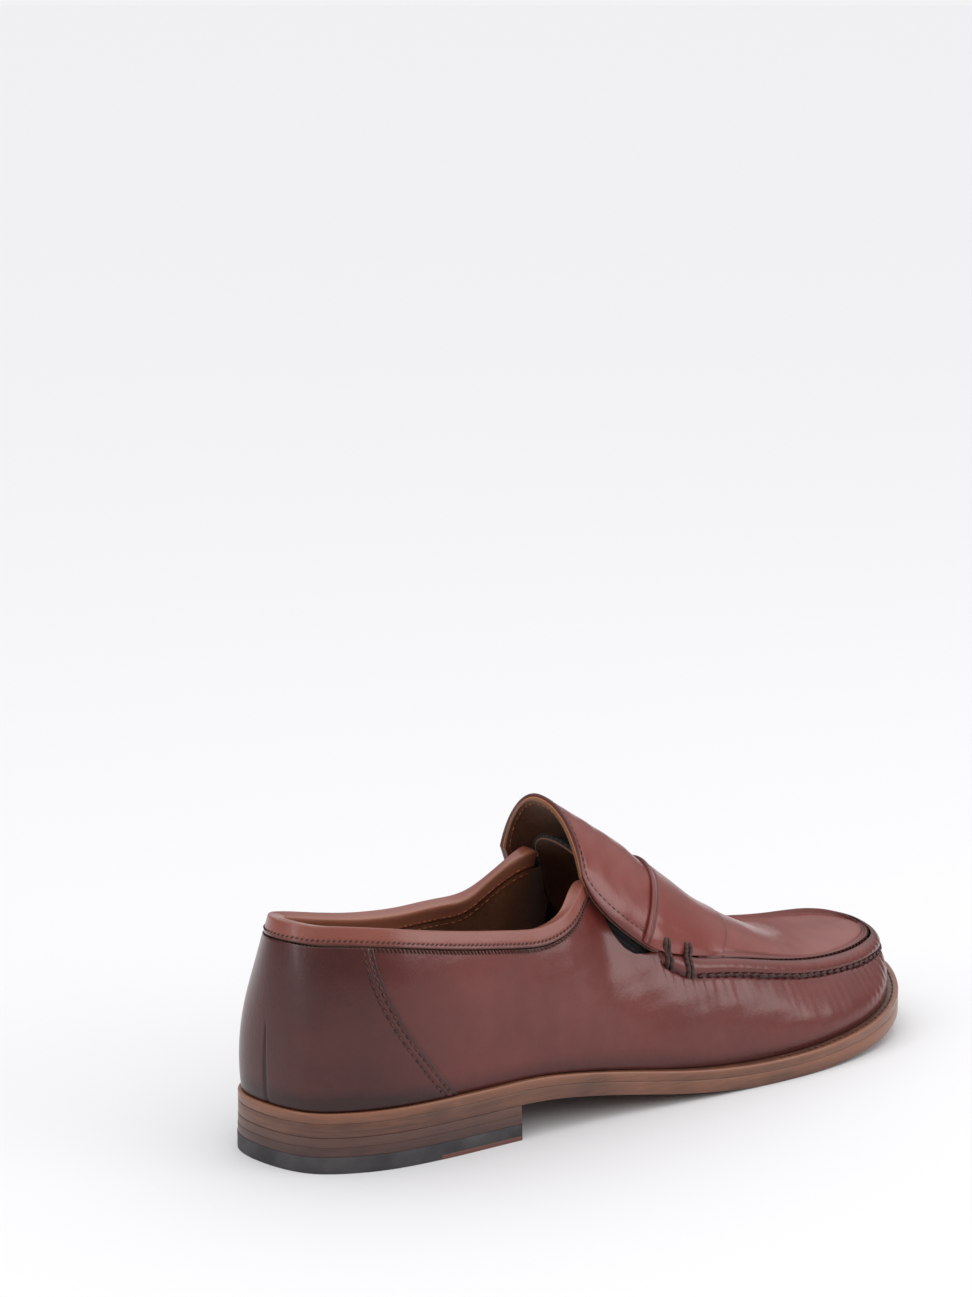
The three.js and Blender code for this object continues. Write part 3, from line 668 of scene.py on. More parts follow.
# Drawn and tumbled metal: spring steel for the shank, brass for the nails, with fine rub marks.
def tumbledMetal(name, light, dark, rough):
    material, tree, shader = newFinish(name, Metallic=1.0)
    coords = addNode(tree, "TexCoord").outputs["Object"]
    rub = addNode(tree, "TexNoise", {"Vector": coords, "Scale": perMetre(0.7), "Detail": 5.0})
    toneRamp(tree, shader, rub.outputs["Fac"], dark, 0.3, light, 0.7)
    roughBetween(tree, shader, rub.outputs["Fac"], rough - 0.08, rough + 0.12)
    return material


calf = burnishedCalf("burnishedCalf", "#844038", "#602823", "#2c0b0a", gloss=0.3, coat=0.22)
# the binding's calf is a lighter copy of the calf: painted light on the rolled top that faces the overhead
# light
litBindingCalf = burnishedCalf("burnishedCalfBindingLit", "#8e5844", "#80463c", "#3a1412", gloss=0.33, coat=0.22)
# the lining and sock tones are darker than the kip's own tan: painted shade for the inside of the shoe
shadeDarkKip = tanLining("tanKipLiningShadeDark", "#7c4c2a", "#512d17")
shadeDarkSockKip = tanLining("tanKipSockShadeDark", "#82522f", "#5e361b")
rawEdge = tanLining("rawHideEdge", "#c07a48", "#985832")
soleEdge = waxedEdge("waxedSoleEdge", "#82523a", "#4e2f23")
stackEdge = waxedEdge("stackedLeatherEdge", "#5a3a30", "#3c2420", layer=0.9, rough=0.42)
tipEdge = waxedEdge("heelTipLeather", "#6c3c32", "#4e2a24", layer=0.8, rough=0.45)
heelRubber = mouldedRubber("mouldedHeelRubber", "#2c292b", "#474345")
darkThread = waxedThread("waxedThreadDark", "#4a2a24", "#281210")
seamThread = waxedThread("waxedThreadBrown", "#5e3428", "#371c18")
tanThread = waxedThread("waxedThreadTan", "#b0643a", "#7c3f22")
elastic = ribbedElastic("gussetElastic", "#2a2728", "#0f0e0f")
cork = crumbly("granulatedCork", "#a97f54", "#6e4c2e", 1.6, 0.95)
foam = crumbly("latexFoam", "#ddd3b4", "#c2b48e", 0.8, 0.98)
board = crumbly("fibreBoard", "#bba989", "#94825f", 1.1, 0.92)
springSteel = tumbledMetal("springSteel", "#a9acb0", "#85888c", 0.35)
nailBrass = tumbledMetal("tumbledBrass", "#c79a4c", "#9a7230", 0.32)
print("finishes made")


# outsole, welt and heel
def wholeOutline(a, inset):
    return insetEdge(a * count, np.full(len(a), float(inset)))


def heelOutline(a, inset):
    front = heelBreast - max(inset, 0)
    fine = np.linspace(0, 8, 1601)
    outerX = insetEdge(fine, np.full(len(fine), float(inset)))[:, 0]
    innerX = insetEdge(count - fine, np.full(len(fine), float(inset)))[:, 0]
    outerEnd = np.interp(front, outerX, fine)
    innerEnd = np.interp(front, innerX, fine)
    bend = 0.4  # share of the outline from the back of the heel to a corner of its breast
    station = np.where(a < 0.5, outerEnd * np.clip(a / bend, 0, 1),
                       count - innerEnd * np.clip((1 - a) / bend, 0, 1))
    points = insetEdge(station, np.full(len(a), float(inset)))
    corners = insetEdge(np.array([outerEnd, count - innerEnd]), np.full(2, float(inset)))
    across = np.clip((a - bend) / (1 - 2 * bend), 0, 1)[:, None]
    breast = mixed(corners[0], corners[1], across)
    return np.where(((a > bend) & (a < 1 - bend))[:, None], breast, points)


# the profile's rows are (share of the way to the middle, inset from the sole edge, height at x)
def soleRing(name, columns, profile, outline=wholeOutline, shade=None):
    def place(a, b):
        row = np.clip(np.round(b * (len(profile) - 1)).astype(int), 0, len(profile) - 1)
        points = np.zeros((len(a), 3))
        for i, (share, inset, height) in enumerate(profile):
            here = row == i
            near = outline(a[here], inset)
            far = outline(1 - a[here], inset)
            flat = mixed(near, (near + far) / 2, share)
            points[here, :2] = flat
            points[here, 2] = height(flat[:, 0])
        return points

    return closeUp(layGrid(name, columns, len(profile) - 1, place, shade))


def plateProfile(inset, bottom, top, ease, middle=(1, 0.8, 0.55, 0.3, 0.12)):
    low = [(share, inset + ease, bottom) for share in middle]
    high = [(share, inset + ease, top) for share in reversed(middle)]
    side = [
        (0, inset + ease, bottom),
        (0, inset + ease * 0.3, lambda x: bottom(x) + ease * 0.3),
        (0, inset, lambda x: bottom(x) + ease),
        (0, inset, lambda x: mixed(bottom(x), top(x), 0.5)),
        (0, inset, lambda x: top(x) - ease),
        (0, inset + ease * 0.3, lambda x: top(x) - ease * 0.3),
        (0, inset + ease, top),
    ]
    return low + side + high


def level(z):
    return lambda x: np.full(np.shape(x), float(z))


sole = {"columns": 480, "edgeEase": 0.35, "weltEase": 0.6, "weltInner": 15, "joint": 0.02}


# the sole edge is darker where its fore part lies within 6 mm of the floor: painted shade near the ground
def outsoleShade(a, b, points):
    seen = smoothStep(points[:, 0], -60, 60)
    return 0.2 - 0.34 * seen * smoothStep(points[:, 2], 0, 6)


outsole = soleRing("outsole", sole["columns"], plateProfile(
    0, underside, lambda x: outsoleTop(x) + shoe["gap"] / 2, sole["edgeEase"],
), shade=outsoleShade)
smooth(outsole, 45)
finishPiece(outsole, "shoe", soleEdge, ["outsole"])

weltLow = lambda x: outsoleTop(x) + shoe["gap"] / 2 + sole["joint"]
ease = sole["weltEase"]
weltProfile = [
    (0, sole["weltInner"], weltLow),
    (0, 5, weltLow),
    (0, 0.12, weltLow),
    (0, 0, lambda x: weltLow(x) + 0.12),
    (0, 0, lambda x: soleTop(x) - 1.5),
    (0, 0, lambda x: soleTop(x) - ease),
    (0, ease * 0.2, lambda x: soleTop(x) - ease * 0.35),
    (0, ease * 0.6, lambda x: soleTop(x) - ease * 0.08),
    (0, ease, soleTop),
    (0, 2.2, lambda x: soleTop(x) - 0.15),
    (0, 3.4, soleTop),
    (0, 6, soleTop),
    (0, sole["weltInner"], soleTop),
    (0, sole["weltInner"], lambda x: mixed(weltLow(x), soleTop(x), 0.5)),
    (0, sole["weltInner"], weltLow),
]


# the welt's tone: lighter along its rounded top edge as a painted highlight, darker on its top beneath the
# upper as painted shade
def weltShade(a, b, points):
    row = np.round(b * (len(weltProfile) - 1))
    rim = bump(row, 6.3, 1.2)
    return 0.02 - 0.5 * rim + 0.25 * smoothStep(row, 8.5, 10)


welt = soleRing("welt", sole["columns"], weltProfile, shade=weltShade)
smooth(welt, 45)
finishPiece(welt, "shoe", soleEdge, ["welt"])

weltRow = np.linspace(11.5, 22.5, 500)
flatRow = insetEdge(weltRow, np.full(len(weltRow), 2.3))
weltPath = np.column_stack([flatRow, soleTop(flatRow[:, 0]) - 0.12])
upright = np.tile([0.0, 0.0, 1.0], (len(weltRow), 1))
weltStitches = sewRow("weltStitches", weltPath, upright, 3.4, 2.7, 0.75)
finishPiece(weltStitches, "shoe", seamThread)

heel = {"columns": 220, "ease": 0.12, "flare": 0.5, "rubber": 6, "lifts": 2, "tip": 1.6,
        "tipStart": 50, "nails": 5, "nailHole": 2.2, "nailDepth": 4, "joint": 0.015}
liftHeight = (shoe["heelHeight"] - heel["rubber"]) / heel["lifts"]


def heelPlate(name, low, high, material, replaced, shade=None):
    flare = heel["flare"] * (1 - (low + high) / 2 / shoe["heelHeight"])
    piece = soleRing(name, heel["columns"], plateProfile(
        -flare, level(low), level(high), heel["ease"], middle=(1, 0.5),
    ), heelOutline, shade)
    smooth(piece, 45)
    return finishPiece(piece, None, material, replaced)


def cutAway(piece, tool):
    applyModifier(piece, "BOOLEAN", operation="DIFFERENCE", object=tool, solver="EXACT")
    bpy.data.objects.remove(tool)


for i in range(heel["lifts"]):
    low = heel["rubber"] + i * liftHeight + heel["joint"]
    lift = heelPlate(
        f"heelLift{i + 1}", low, low + liftHeight - heel["joint"], stackEdge,
        [f"heel_lift_{i + 1}"], shade=lambda a, b, points, dark=0.14 - 0.2 * i: np.full(len(a), dark),
    )
    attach(lift, "shoe")
rubber = heelPlate("heelRubber", 0, heel["rubber"], heelRubber, ["top_lift_rubber"])
tipFrom = heel["tipStart"] - shoe["length"] / 2
clearance = 0.05
notch = heel["tip"] + clearance
cutter = 100  # longer than any heel plate
bpy.ops.mesh.primitive_cube_add(
    size=1, location=((tipFrom + cutter / 2) * mm, 0, 0),
    scale=(cutter * mm, 2 * cutter * mm, 2 * notch * mm),
)
cutAway(rubber, bpy.context.object)
tip = heelPlate("heelTip", 0, heel["tip"], tipEdge, ["top_lift_leather"])
bpy.ops.mesh.primitive_cube_add(
    size=1, location=((tipFrom - cutter / 2 + clearance) * mm, 0, 0),
    scale=(cutter * mm, 2 * cutter * mm, 10 * mm),
)
cutAway(tip, bpy.context.object)
for i in range(heel["nails"]):
    low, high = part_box(f"heel_nail_{i + 1}")
    middle = (low + high) / 2
    for plate in (rubber, tip):
        bpy.ops.mesh.primitive_cylinder_add(
            vertices=24, radius=heel["nailHole"] * mm, depth=heel["nailDepth"] * mm,
            location=(middle.x, middle.y, -0.5 * mm),
        )
        cutAway(plate, bpy.context.object)
for plate in (rubber, tip):
    smooth(plate, 45)
    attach(plate, "shoe")
print("sole and heel made")

# side wall, heel cover and collar
ridge = {"drop": 6.9, "endDrop": 10.3, "endTop": 4.2, "start": 9.6, "pitch": 4.4, "proud": 1.5,
         "rise": -0.5}
ridgeStation = np.linspace(9.4, 24.6, 960)


def ridgeLow(station):
    return mixed(ridge["endDrop"], ridge["drop"], smoothStep(fromHeelBack(station), 9.6, 10.7))


def ridgeHigh(station):
    return ridge["endTop"] * (1 - smoothStep(fromHeelBack(station), 9.6, 10.25))


ridgeLine = wall(ridgeStation, below(ridgeStation, ridgeLow(ridgeStation)), 0)
ridgeReach = np.concatenate([[0], np.cumsum(np.linalg.norm(np.diff(ridgeLine, axis=0), axis=1))])
ridgeTurns = int(ridgeReach[-1] / ridge["pitch"])


def turnAt(station):
    return np.interp(station, ridgeStation, ridgeReach) / ridgeReach[-1] * ridgeTurns


def ridgeMask(station):
    return smoothStep(fromHeelBack(station), ridge["start"] - 0.06, ridge["start"] + 0.1)


def wallRelief(station, up, points):
    drop = wallDrop(station, up)
    away = fromHeelBack(station)
    on = ridgeMask(station)
    toeward = smoothStep(away, 11.8, 15.2)
    turn = turnAt(station)
    pull = 0.5 + 0.5 * np.cos(2 * math.pi * turn)
    uneven = 0.72 + 0.5 * np.sin(turn * 1.9 + 0.6) * np.sin(turn * 0.73)
    low, high = ridgeLow(station), ridgeHigh(station)
    under = drop - low
    share = np.clip((drop - high) / (low - high), 0, 1)
    band = ridge["proud"] * (4 * share * (1 - share)) ** 0.6
    band -= 0.75 * bump(under, 0.3, 0.8)
    band -= (0.1 + 0.16 * toeward) * uneven * pull * bump(share, 0.62, 0.3)
    reach = 4.5 + 8.5 * toeward
    fade = np.exp(-np.clip(under - 0.6, 0, 99) / reach) * smoothStep(under, -0.6, 1.0)
    pleat = (0.1 + 0.36 * toeward) * uneven * (0.35 - pull) * fade
    pulled = bump(away, 10.1, 0.8) * smoothStep(under, 0, 1.5) * np.exp(-np.clip(under - 1, 0, 99) / 9)
    wrinkle = 0.16 * pulled * np.sin(turn * 2 * math.pi * 0.9 + 0.2 * drop)
    firm = smoothStep(away, 3.5, 7)
    sway = (0.1 + 0.28 * firm) * wander(points, 34, 3) + (0.03 + 0.09 * firm) * wander(points, 11, 5)
    still = smoothStep(up, 0.02, 0.25)
    return on * (band + pleat) + wrinkle + sway * still * (1 - 0.7 * on * (under < 0))


def wallRise(station, up):
    return ridge["rise"] * ridgeMask(station) * (1 - smoothStep(wallDrop(station, up), 0, 5))


# how dark the leather is: burnish worked in at the heel and toe; painted shade along the joint with the
# welt, in the groove under the sewn ridge (where burnish beside the seam adds to it), under the apron's
# lip and in the pleat hollows
def wallShade(station, up, points):
    away = fromHeelBack(station)
    drop = wallDrop(station, up)
    heelDark = 0.3 * (1 - smoothStep(away, 2.2, 4.6))
    toeDark = 0.22 * smoothStep(away, 14.2, 16.4)
    # painted shade along the joint with the welt
    footShade = 0.34 * (1 - smoothStep(up, 0.0, 0.13))
    under = drop - ridgeLow(station)
    # burnish beside the ridge seam and painted shade in the groove under it
    seamBurnishAndShade = 0.4 * bump(under, 0.2, 1.2) * ridgeMask(station)
    # painted shade under the apron's lip along the wall's top
    lipShade = 0.3 * bump(drop, 0, 0.9) * ridgeMask(station)
    turn = turnAt(station)
    # painted shade in the hollows of the pleats
    pleatShade = 0.1 * (0.5 + 0.5 * np.cos(2 * math.pi * turn)) * smoothStep(away, 12, 15)
    pleatShade = pleatShade * np.exp(-np.clip(under, 0, 99) / 9) * (under > 0)
    return 0.4 + heelDark + toeDark + footShade + seamBurnishAndShade + lipShade + pleatShade


def counterSeam(up):
    return 2.65 + 1.35 * (1 - up) ** 1.5


bindingDrop = 6.5
fineStation = np.linspace(-1, count + 1, 1441)
fineFoot = below(fineStation, bindingDrop)


def bindingFoot(station):
    return np.interp(np.asarray(station, float) % count, fineStation, fineFoot)


def layerTop(station, front):
    away = fromHeelBack(station)
    ahead = smoothStep(away, shoe["collarEnd"] + 0.1, shoe["collarEnd"] + 0.6)
    return mixed(bindingFoot(station) - 0.01, front, ahead)


wallSheet = {"columns": 900, "rows": 56, "under": 0.22}


# beside the tongue the wall is cut low, and black elastic sheets behind it fill the gap under the tongue's
# edge: a dark sheet put there as painted shade in that gap
mouth = {"stations": (8.13, 8.34, 8.6, 8.9, 9.25, 9.55, 9.8), "tops": (1, 0.74, 0.66, 0.67, 0.75, 0.86, 1)}
mouthStation = np.linspace(7, 11, 801)
mouthBlur = np.hanning(61) / np.hanning(61).sum()
mouthTop = np.interp(mouthStation, mouth["stations"], mouth["tops"])
mouthTop = np.convolve(np.pad(mouthTop, 30, mode="edge"), mouthBlur, mode="valid")


def wallTop(station):
    low = np.interp(fromHeelBack(station), mouthStation, mouthTop)
    return np.minimum(layerTop(station, 1.0), low)


def wallSheetAt(a, b):
    start = counterSeam(b) - wallSheet["under"]
    station = mixed(start, count - start, a)
    up = b * wallTop(station)
    return station, up


def placeWall(a, b):
    station, up = wallSheetAt(a, b)
    flat = wall(station, up, 0)
    relief = wallRelief(station, up, flat)
    under = 1 - smoothStep(np.minimum(a, 1 - a) * wallSheet["columns"], 3, 9)
    points = wall(station, up, -relief * (1 - under) + under * 0.25)
    points[:, 2] += wallRise(station, up)
    return points


sideWall = layGrid("sideWall", wallSheet["columns"], wallSheet["rows"], placeWall,
                   lambda a, b, p: wallShade(*wallSheetAt(a, b), p))
thicken(sideWall, 1.7, edge=0.4)
finishPiece(sideWall, "shoe", calf, ["side_wall"])

cover = {"columns": 330, "rows": 72, "proud": 0.75, "thickness": 0.7, "dartTop": 0.46,
         "dartPlace": 0.12, "stationLength": 21, "seamRows": (1.7, 4.2), "seamSwell": 2.9}


def coverAt(a, b):
    station = mixed(-counterSeam(b), counterSeam(b), a)
    return station, b * layerTop(station, 1.0)


def coverDart(station, up):
    width = 0.028 * (1 - smoothStep(up, 0.1, cover["dartTop"])) + 0.012
    return bump(station, cover["dartPlace"], width) * (1 - smoothStep(up, cover["dartTop"] - 0.1,
                                                                       cover["dartTop"]))


def placeCover(a, b):
    station, up = coverAt(a, b)
    flat = wall(station, up, 0)
    edge = (counterSeam(b) - np.abs(station)) * cover["stationLength"]
    rows = sum(bump(edge, row, 0.5) for row in cover["seamRows"])
    sewn = 0.12 * bump(edge, cover["seamSwell"], 0.7) - 0.22 * rows
    sewn -= 0.2 * (1 - smoothStep(edge, 0, 0.8))
    sway = 0.1 * wander(flat, 30, 8) * smoothStep(up, 0.02, 0.2)
    return wall(station, up, -(cover["proud"] + sewn + sway - 0.5 * coverDart(station, up)))


def coverShade(a, b, points):
    station, up = coverAt(a, b)
    edge = (counterSeam(b) - np.abs(station)) * cover["stationLength"]
    sewn = 0.12 * sum(bump(edge, row, 0.6) for row in cover["seamRows"])
    # burnish over the cover and at its edge, and painted shade in the dart's crease
    workedAndShaded = 0.12 + 0.2 * bump(edge, 0, 1) + 0.8 * coverDart(station, up)
    return wallShade(station, up, points) + workedAndShaded + sewn


heelCover = layGrid("heelCover", cover["columns"], cover["rows"], placeCover, coverShade)
thicken(heelCover, cover["thickness"], edge=0.25)
finishPiece(heelCover, "shoe", calf, ["heel_cover"])

coverRise = np.linspace(0.015, 0.99, 260)
for side in (-1, 1):
    for i, inset in enumerate(cover["seamRows"]):
        station = side * (counterSeam(coverRise) - inset / cover["stationLength"])
        up = coverRise * layerTop(station, 1.0)
        path = wall(station, up, -cover["proud"] + 0.2)
        row = sewRow(f"heelSeam{'Inner' if side < 0 else 'Outer'}{i + 1}", path,
                     wallNormal(station, up), 2.9, 2.1, 0.66, slant=8 * side)
        finishPiece(row, "shoe", seamThread)

collar = {"columns": 620, "around": 36}
sectionShare = np.array([0.0, 0.04, 0.36, 0.8, 0.97, 1.02, 1.02, 0.97, 0.78, 0.45, 0.1, 0.0])
sectionDepth = np.array([-0.2, -0.62, -0.66, -0.62, -0.5, 0.6, 3.4, 4.7, 5.15, 5.2, 5.25, 4.95])
collarSection = smoothRows(np.column_stack([sectionShare, sectionDepth]), False)


def collarAt(a, b):
    station = mixed(-shoe["collarEnd"], shoe["collarEnd"], a)
    row = collarSection(b * (len(sectionShare) - 1))
    return station, row[:, 0], row[:, 1]


def placeCollar(a, b):
    station, share, depth = collarAt(a, b)
    foot = bindingFoot(station)
    up = mixed(foot, 1, np.clip(share, 0, 1))
    flat = wall(station, up, depth)
    sewn = 0.16 * bump(share, 0.17, 0.07) * (depth < 2)
    return wall(station, up, depth + sewn - 0.05 * wander(flat, 12, 21))


# the binding is darker at its lower edge, and lighter from the top of the roll down its inner face: a
# painted highlight on the rolled top
def collarShade(a, b, points):
    station, share, depth = collarAt(a, b)
    return 0.42 + 0.5 * bump(share, 0.0, 0.12) - 0.5 * smoothStep(depth, 1.5, 4.8)


collarBinding = layGrid("collarBinding", collar["columns"], collar["around"], placeCollar, collarShade)
take(collarBinding)
stride = collar["columns"] + 1
mesh = collarBinding.data
web = bmesh.new()
web.from_mesh(mesh)
web.verts.ensure_lookup_table()
last = collar["around"] * stride
for i in range(collar["columns"]):
    web.faces.new([web.verts[j] for j in (last + i, last + i + 1, i + 1, i)])
for column in (0, collar["columns"]):
    ring = [web.verts[column + k * stride] for k in range(collar["around"] + 1)]
    web.faces.new(ring)
bmesh.ops.recalc_face_normals(web, faces=web.faces[:])
web.to_mesh(mesh)
web.free()
smooth(collarBinding, 50)
finishPiece(collarBinding, "shoe", litBindingCalf, ["collar_binding"])

collarRow = np.linspace(-shoe["collarEnd"] + 0.08, shoe["collarEnd"] - 0.08, 900)


def collarStitches(name, drop, depth, pitch, length, width, thread, slant=0):
    up = below(collarRow, drop)
    path = wall(collarRow, up, depth)
    outward = wallNormal(collarRow, up) * (1 if depth < 2 else -1)
    row = sewRow(name, path, outward, pitch, length, width, slant=slant)
    return finishPiece(row, "shoe", thread)


collarStitches("bindingStitchesTop", 5.0, -0.62, 1.9, 1.3, 0.6, darkThread, slant=30)
collarStitches("bindingStitchesLow", 7.6, -0.1, 1.5, 1.9, 0.6, darkThread, slant=-58)
collarStitches("bindingStitchesInside", 5.3, 5.25, 2.3, 1.7, 0.5, tanThread)
collarStitches("liningStitches", 8.6, 4.95, 2.6, 1.9, 0.5, tanThread)
print("side wall, heel cover and collar made")

# linings
lining = {"depth": 3.8, "thickness": 1.0, "reach": 9.4, "columns": 420, "rows": 40}


def liningAt(a, b):
    station = mixed(-lining["reach"], lining["reach"], a)
    return station, b * layerTop(station, 0.97)


# the grid runs the other way round, so that its faces point into the shoe
def placeLining(a, b):
    station, up = liningAt(1 - a, b)
    flat = wall(station, up, lining["depth"] + lining["thickness"])
    sway = 0.16 * wander(flat, 24, 31) + 0.05 * wander(flat, 8, 32)
    seam = 0.45 * (bump(np.abs(station), 4.6, 0.03) - bump(np.abs(station), 4.52, 0.05))
    return wall(station, up, lining["depth"] + lining["thickness"] + sway * smoothStep(up, 0, 0.2) + seam)


quarterLining = layGrid("quarterLining", lining["columns"], lining["rows"], placeLining)
thicken(quarterLining, 0.9, edge=0.2)
finishPiece(quarterLining, "shoe", shadeDarkKip, ["quarter_lining"])
seamRise = np.linspace(0.1, 0.97, 120)
for side in (-1, 1):
    station = np.full(len(seamRise), side * 4.7)
    up = seamRise * layerTop(station, 0.97)
    row = sewRow(f"liningSeam{'Inner' if side < 0 else 'Outer'}", wall(station, up, 5.0),
                 -wallNormal(station, up), 2.8, 2.0, 0.5)
    finishPiece(row, "shoe", tanThread)

sock = {"columns": 300, "thickness": 1.2, "pad": 2, "padLength": 72, "fade": 14, "rise": 6.2,
        "depth": 5.0}
boardTop = lambda x: soleTop(x) + shoe["gap"] + shoe["board"]


def padAt(x):
    front = sock["padLength"] - shoe["length"] / 2
    return sock["pad"] * (1 - smoothStep(x, front - sock["fade"], front + sock["fade"]))


def sockOutline(a, inset):
    station = a * count
    row = drawnRing(station)
    up = np.clip(sock["rise"] / (1.14 * np.maximum(row[..., 4], 10)), 0.03, 0.3)
    edge = wall(station, up, sock["depth"] + inset)
    return edge[:, :2]


sockLow = lambda x: boardTop(x) + 2 * shoe["gap"] + padAt(x)
sockPiece = soleRing("sock", sock["columns"], plateProfile(
    0, sockLow, lambda x: sockLow(x) + sock["thickness"], 0.3, middle=(1, 0.85, 0.65, 0.45, 0.25, 0.1),
), sockOutline)
smooth(sockPiece, 45)
finishPiece(sockPiece, "shoe", shadeDarkSockKip, ["sock_lining"])
print("linings made")

# tongue
tongue = {"leather": 1.3, "raw": 0.5, "lining": 1.0, "columns": 90, "rows": 110,
          "halfWidth": 38, "rowLength": 9.5, "edgeSeam": 3,
          "end": 5.15, "hold": (5.5, 0, 93.3), "free": (-8.5, 0, 103)}


def tongueRelief(along, across, flat):
    creases = 0.5 * wander(flat, 26, 41) + 0.16 * wander(flat, 9, 42)
    edge = (1 - np.abs(across)) * tongue["halfWidth"]
    tip = along * tongue["rowLength"]
    near = np.minimum(edge, tip)
    sewn = 0.1 * bump(near, 1.4, 1.2) - 0.14 * bump(near, tongue["edgeSeam"], 0.5)
    return creases * smoothStep(near, 0, 7) * 0.8 + sewn


def tongueOutline(a, b):
    across = 2 * b - 1
    along = mixed(0.0, tongue["end"] - 0.42 * across ** 6, a)
    return along, across


def placeTongue(depth, trim):
    def place(a, b):
        along, across = tongueOutline(a, b)
        along = np.maximum(along, trim / tongue["rowLength"])
        across = across * (1 - trim / tongue["halfWidth"])
        flat = instep(along, across, 0)
        return instep(along, across, depth - tongueRelief(along, across, flat))
    return place


def tongueShade(a, b, points):
    along, across = tongueOutline(a, b)
    near = np.minimum((1 - np.abs(across)) * tongue["halfWidth"], along * tongue["rowLength"])
    return 0.16 + 0.45 * bump(near, 0, 1.4) + 0.12 * bump(near, tongue["edgeSeam"], 0.7)


def hang(piece, material, replaced=()):
    finishPiece(piece, None, material, replaced)
    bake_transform(piece)


tongueLeather = layGrid("tongueLeather", tongue["columns"], tongue["rows"],
                        placeTongue(0, 0), tongueShade)
thicken(tongueLeather, tongue["leather"] - 0.03, edge=0.4)
hang(tongueLeather, calf, ["tongue", "tongue_root"])
tongueRaw = layGrid("tongueRawEdge", tongue["columns"], tongue["rows"],
                    placeTongue(tongue["leather"], 0.25))
thicken(tongueRaw, tongue["raw"] - 0.03, edge=0.15, segments=1)
hang(tongueRaw, rawEdge)
tongueLining = layGrid("tongueLining", tongue["columns"], tongue["rows"],
                       placeTongue(tongue["leather"] + tongue["raw"], 0.1))
thicken(tongueLining, tongue["lining"], edge=0.3)
hang(tongueLining, shadeDarkKip, ["tongue_lining"])


# a row of stitches a little way in from the tongue's free edge
def tongueEdgeLine(inset, depth):
    sideways = 1 - inset / tongue["halfWidth"]
    ahead = inset / tongue["rowLength"]
    down = np.linspace(4.9, ahead + 0.25, 160)
    over = np.linspace(-sideways, sideways, 260)
    corner = 0.25 * (np.abs(over) / sideways) ** 8
    along = np.concatenate([down, ahead + corner, down[::-1]])
    across = np.concatenate([np.full(160, -sideways), over, np.full(160, sideways)])
    flat = instep(along, across, 0)
    path = instep(along, across, depth - tongueRelief(along, across, flat))
    return path, unit(instep(along, across, -1.0) - instep(along, across, 0.0))


path, outward = tongueEdgeLine(tongue["edgeSeam"], 0)
hang(sewRow("tongueStitchesTop", path, outward, 2.5, 1.8, 0.4, sink=0.25), seamThread)
path, outward = tongueEdgeLine(tongue["edgeSeam"], tongue["leather"] + tongue["raw"] + tongue["lining"])
hang(sewRow("tongueStitchesUnder", path, -outward, 2.6, 2.0, 0.55), tanThread)
print("tongue made")

# elastic, apron and strap
goreSheet = {"columns": 40, "rows": 150, "thickness": 1.0, "rib": 1.6, "halfWidth": 42, "lining": 0.6}


def placeGore(a, b):
    along, across = a * 2, 2 * b - 1
    rib = 0.14 * np.cos(2 * math.pi * across * goreSheet["halfWidth"] / goreSheet["rib"])
    return gore(along, across, -rib)


# black elastic sheets between the wall and the lining beside the tongue, placed as painted shade in the
# gap under the tongue's edge
shadeSheet = {"columns": 120, "rows": 40, "stations": (8.0, 9.95), "low": 0.55, "high": 0.97,
             "depth": 1.95, "length": 44}


def placeShadeSheet(side):
    def place(a, b):
        station = side * mixed(*shadeSheet["stations"], a if side > 0 else 1 - a)
        rib = 0.12 * np.cos(2 * math.pi * a * shadeSheet["length"] / goreSheet["rib"])
        return wall(station, mixed(shadeSheet["low"], shadeSheet["high"], b), shadeSheet["depth"] - rib)
    return place


for side, word in ((1, "Outer"), (-1, "Inner")):
    panel = layGrid(f"elasticShadeSheet{word}", shadeSheet["columns"], shadeSheet["rows"], placeShadeSheet(side))
    thicken(panel, goreSheet["thickness"], edge=0.15, segments=1)
    finishPiece(panel, "shoe", elastic)


# thin leather faces the elastic on the foot's side
def placeGoreLining(a, b):
    return gore(a * 2, 2 * b - 1, goreSheet["thickness"] + 0.2)


elasticGore = layGrid("elasticGore", goreSheet["columns"], goreSheet["rows"], placeGore)
thicken(elasticGore, goreSheet["thickness"], edge=0.15, segments=1)
finishPiece(elasticGore, "shoe", elastic, ["elastic_gore"])

goreLining = layGrid("goreLining", goreSheet["columns"], goreSheet["rows"], placeGoreLining)
thicken(goreLining, goreSheet["lining"], edge=0.15, segments=1)
finishPiece(goreLining, "shoe", shadeDarkKip)

apronSheet = {"columns": 260, "rows": 170, "start": 5.25, "startBend": 0.7, "lip": 1.5, "short": 0.12,
              "rowLength": 6}


def apronEdge(along, across):
    side = np.where(across < 0, -0.999, 0.999)
    reach = np.linalg.norm(instep(along, side, 0) - instep(along, 0 * across, 0), axis=-1)
    inwardly = (1 - np.abs(across)) * reach * 1.08
    toe = (instepEnd - along) * apronSheet["rowLength"]
    return np.minimum(inwardly, np.maximum(toe, 0))


def apronRelief(along, across, flat):
    edge = apronEdge(along, across)
    lipOn = smoothStep(along, 6.1, 6.9)
    lip = apronSheet["lip"] * (1 - smoothStep(edge, 0.6, 2.6)) - 0.35 * bump(edge, 3.2, 1.0)
    sway = 0.22 * wander(flat, 42, 51) + 0.05 * wander(flat, 12, 52)
    return lipOn * lip + sway * smoothStep(edge, 1, 8)


def apronAt(a, b):
    across = 2 * b - 1
    start = apronSheet["start"] + apronSheet["startBend"] * across ** 2
    return mixed(start, instepEnd - apronSheet["short"], a), across


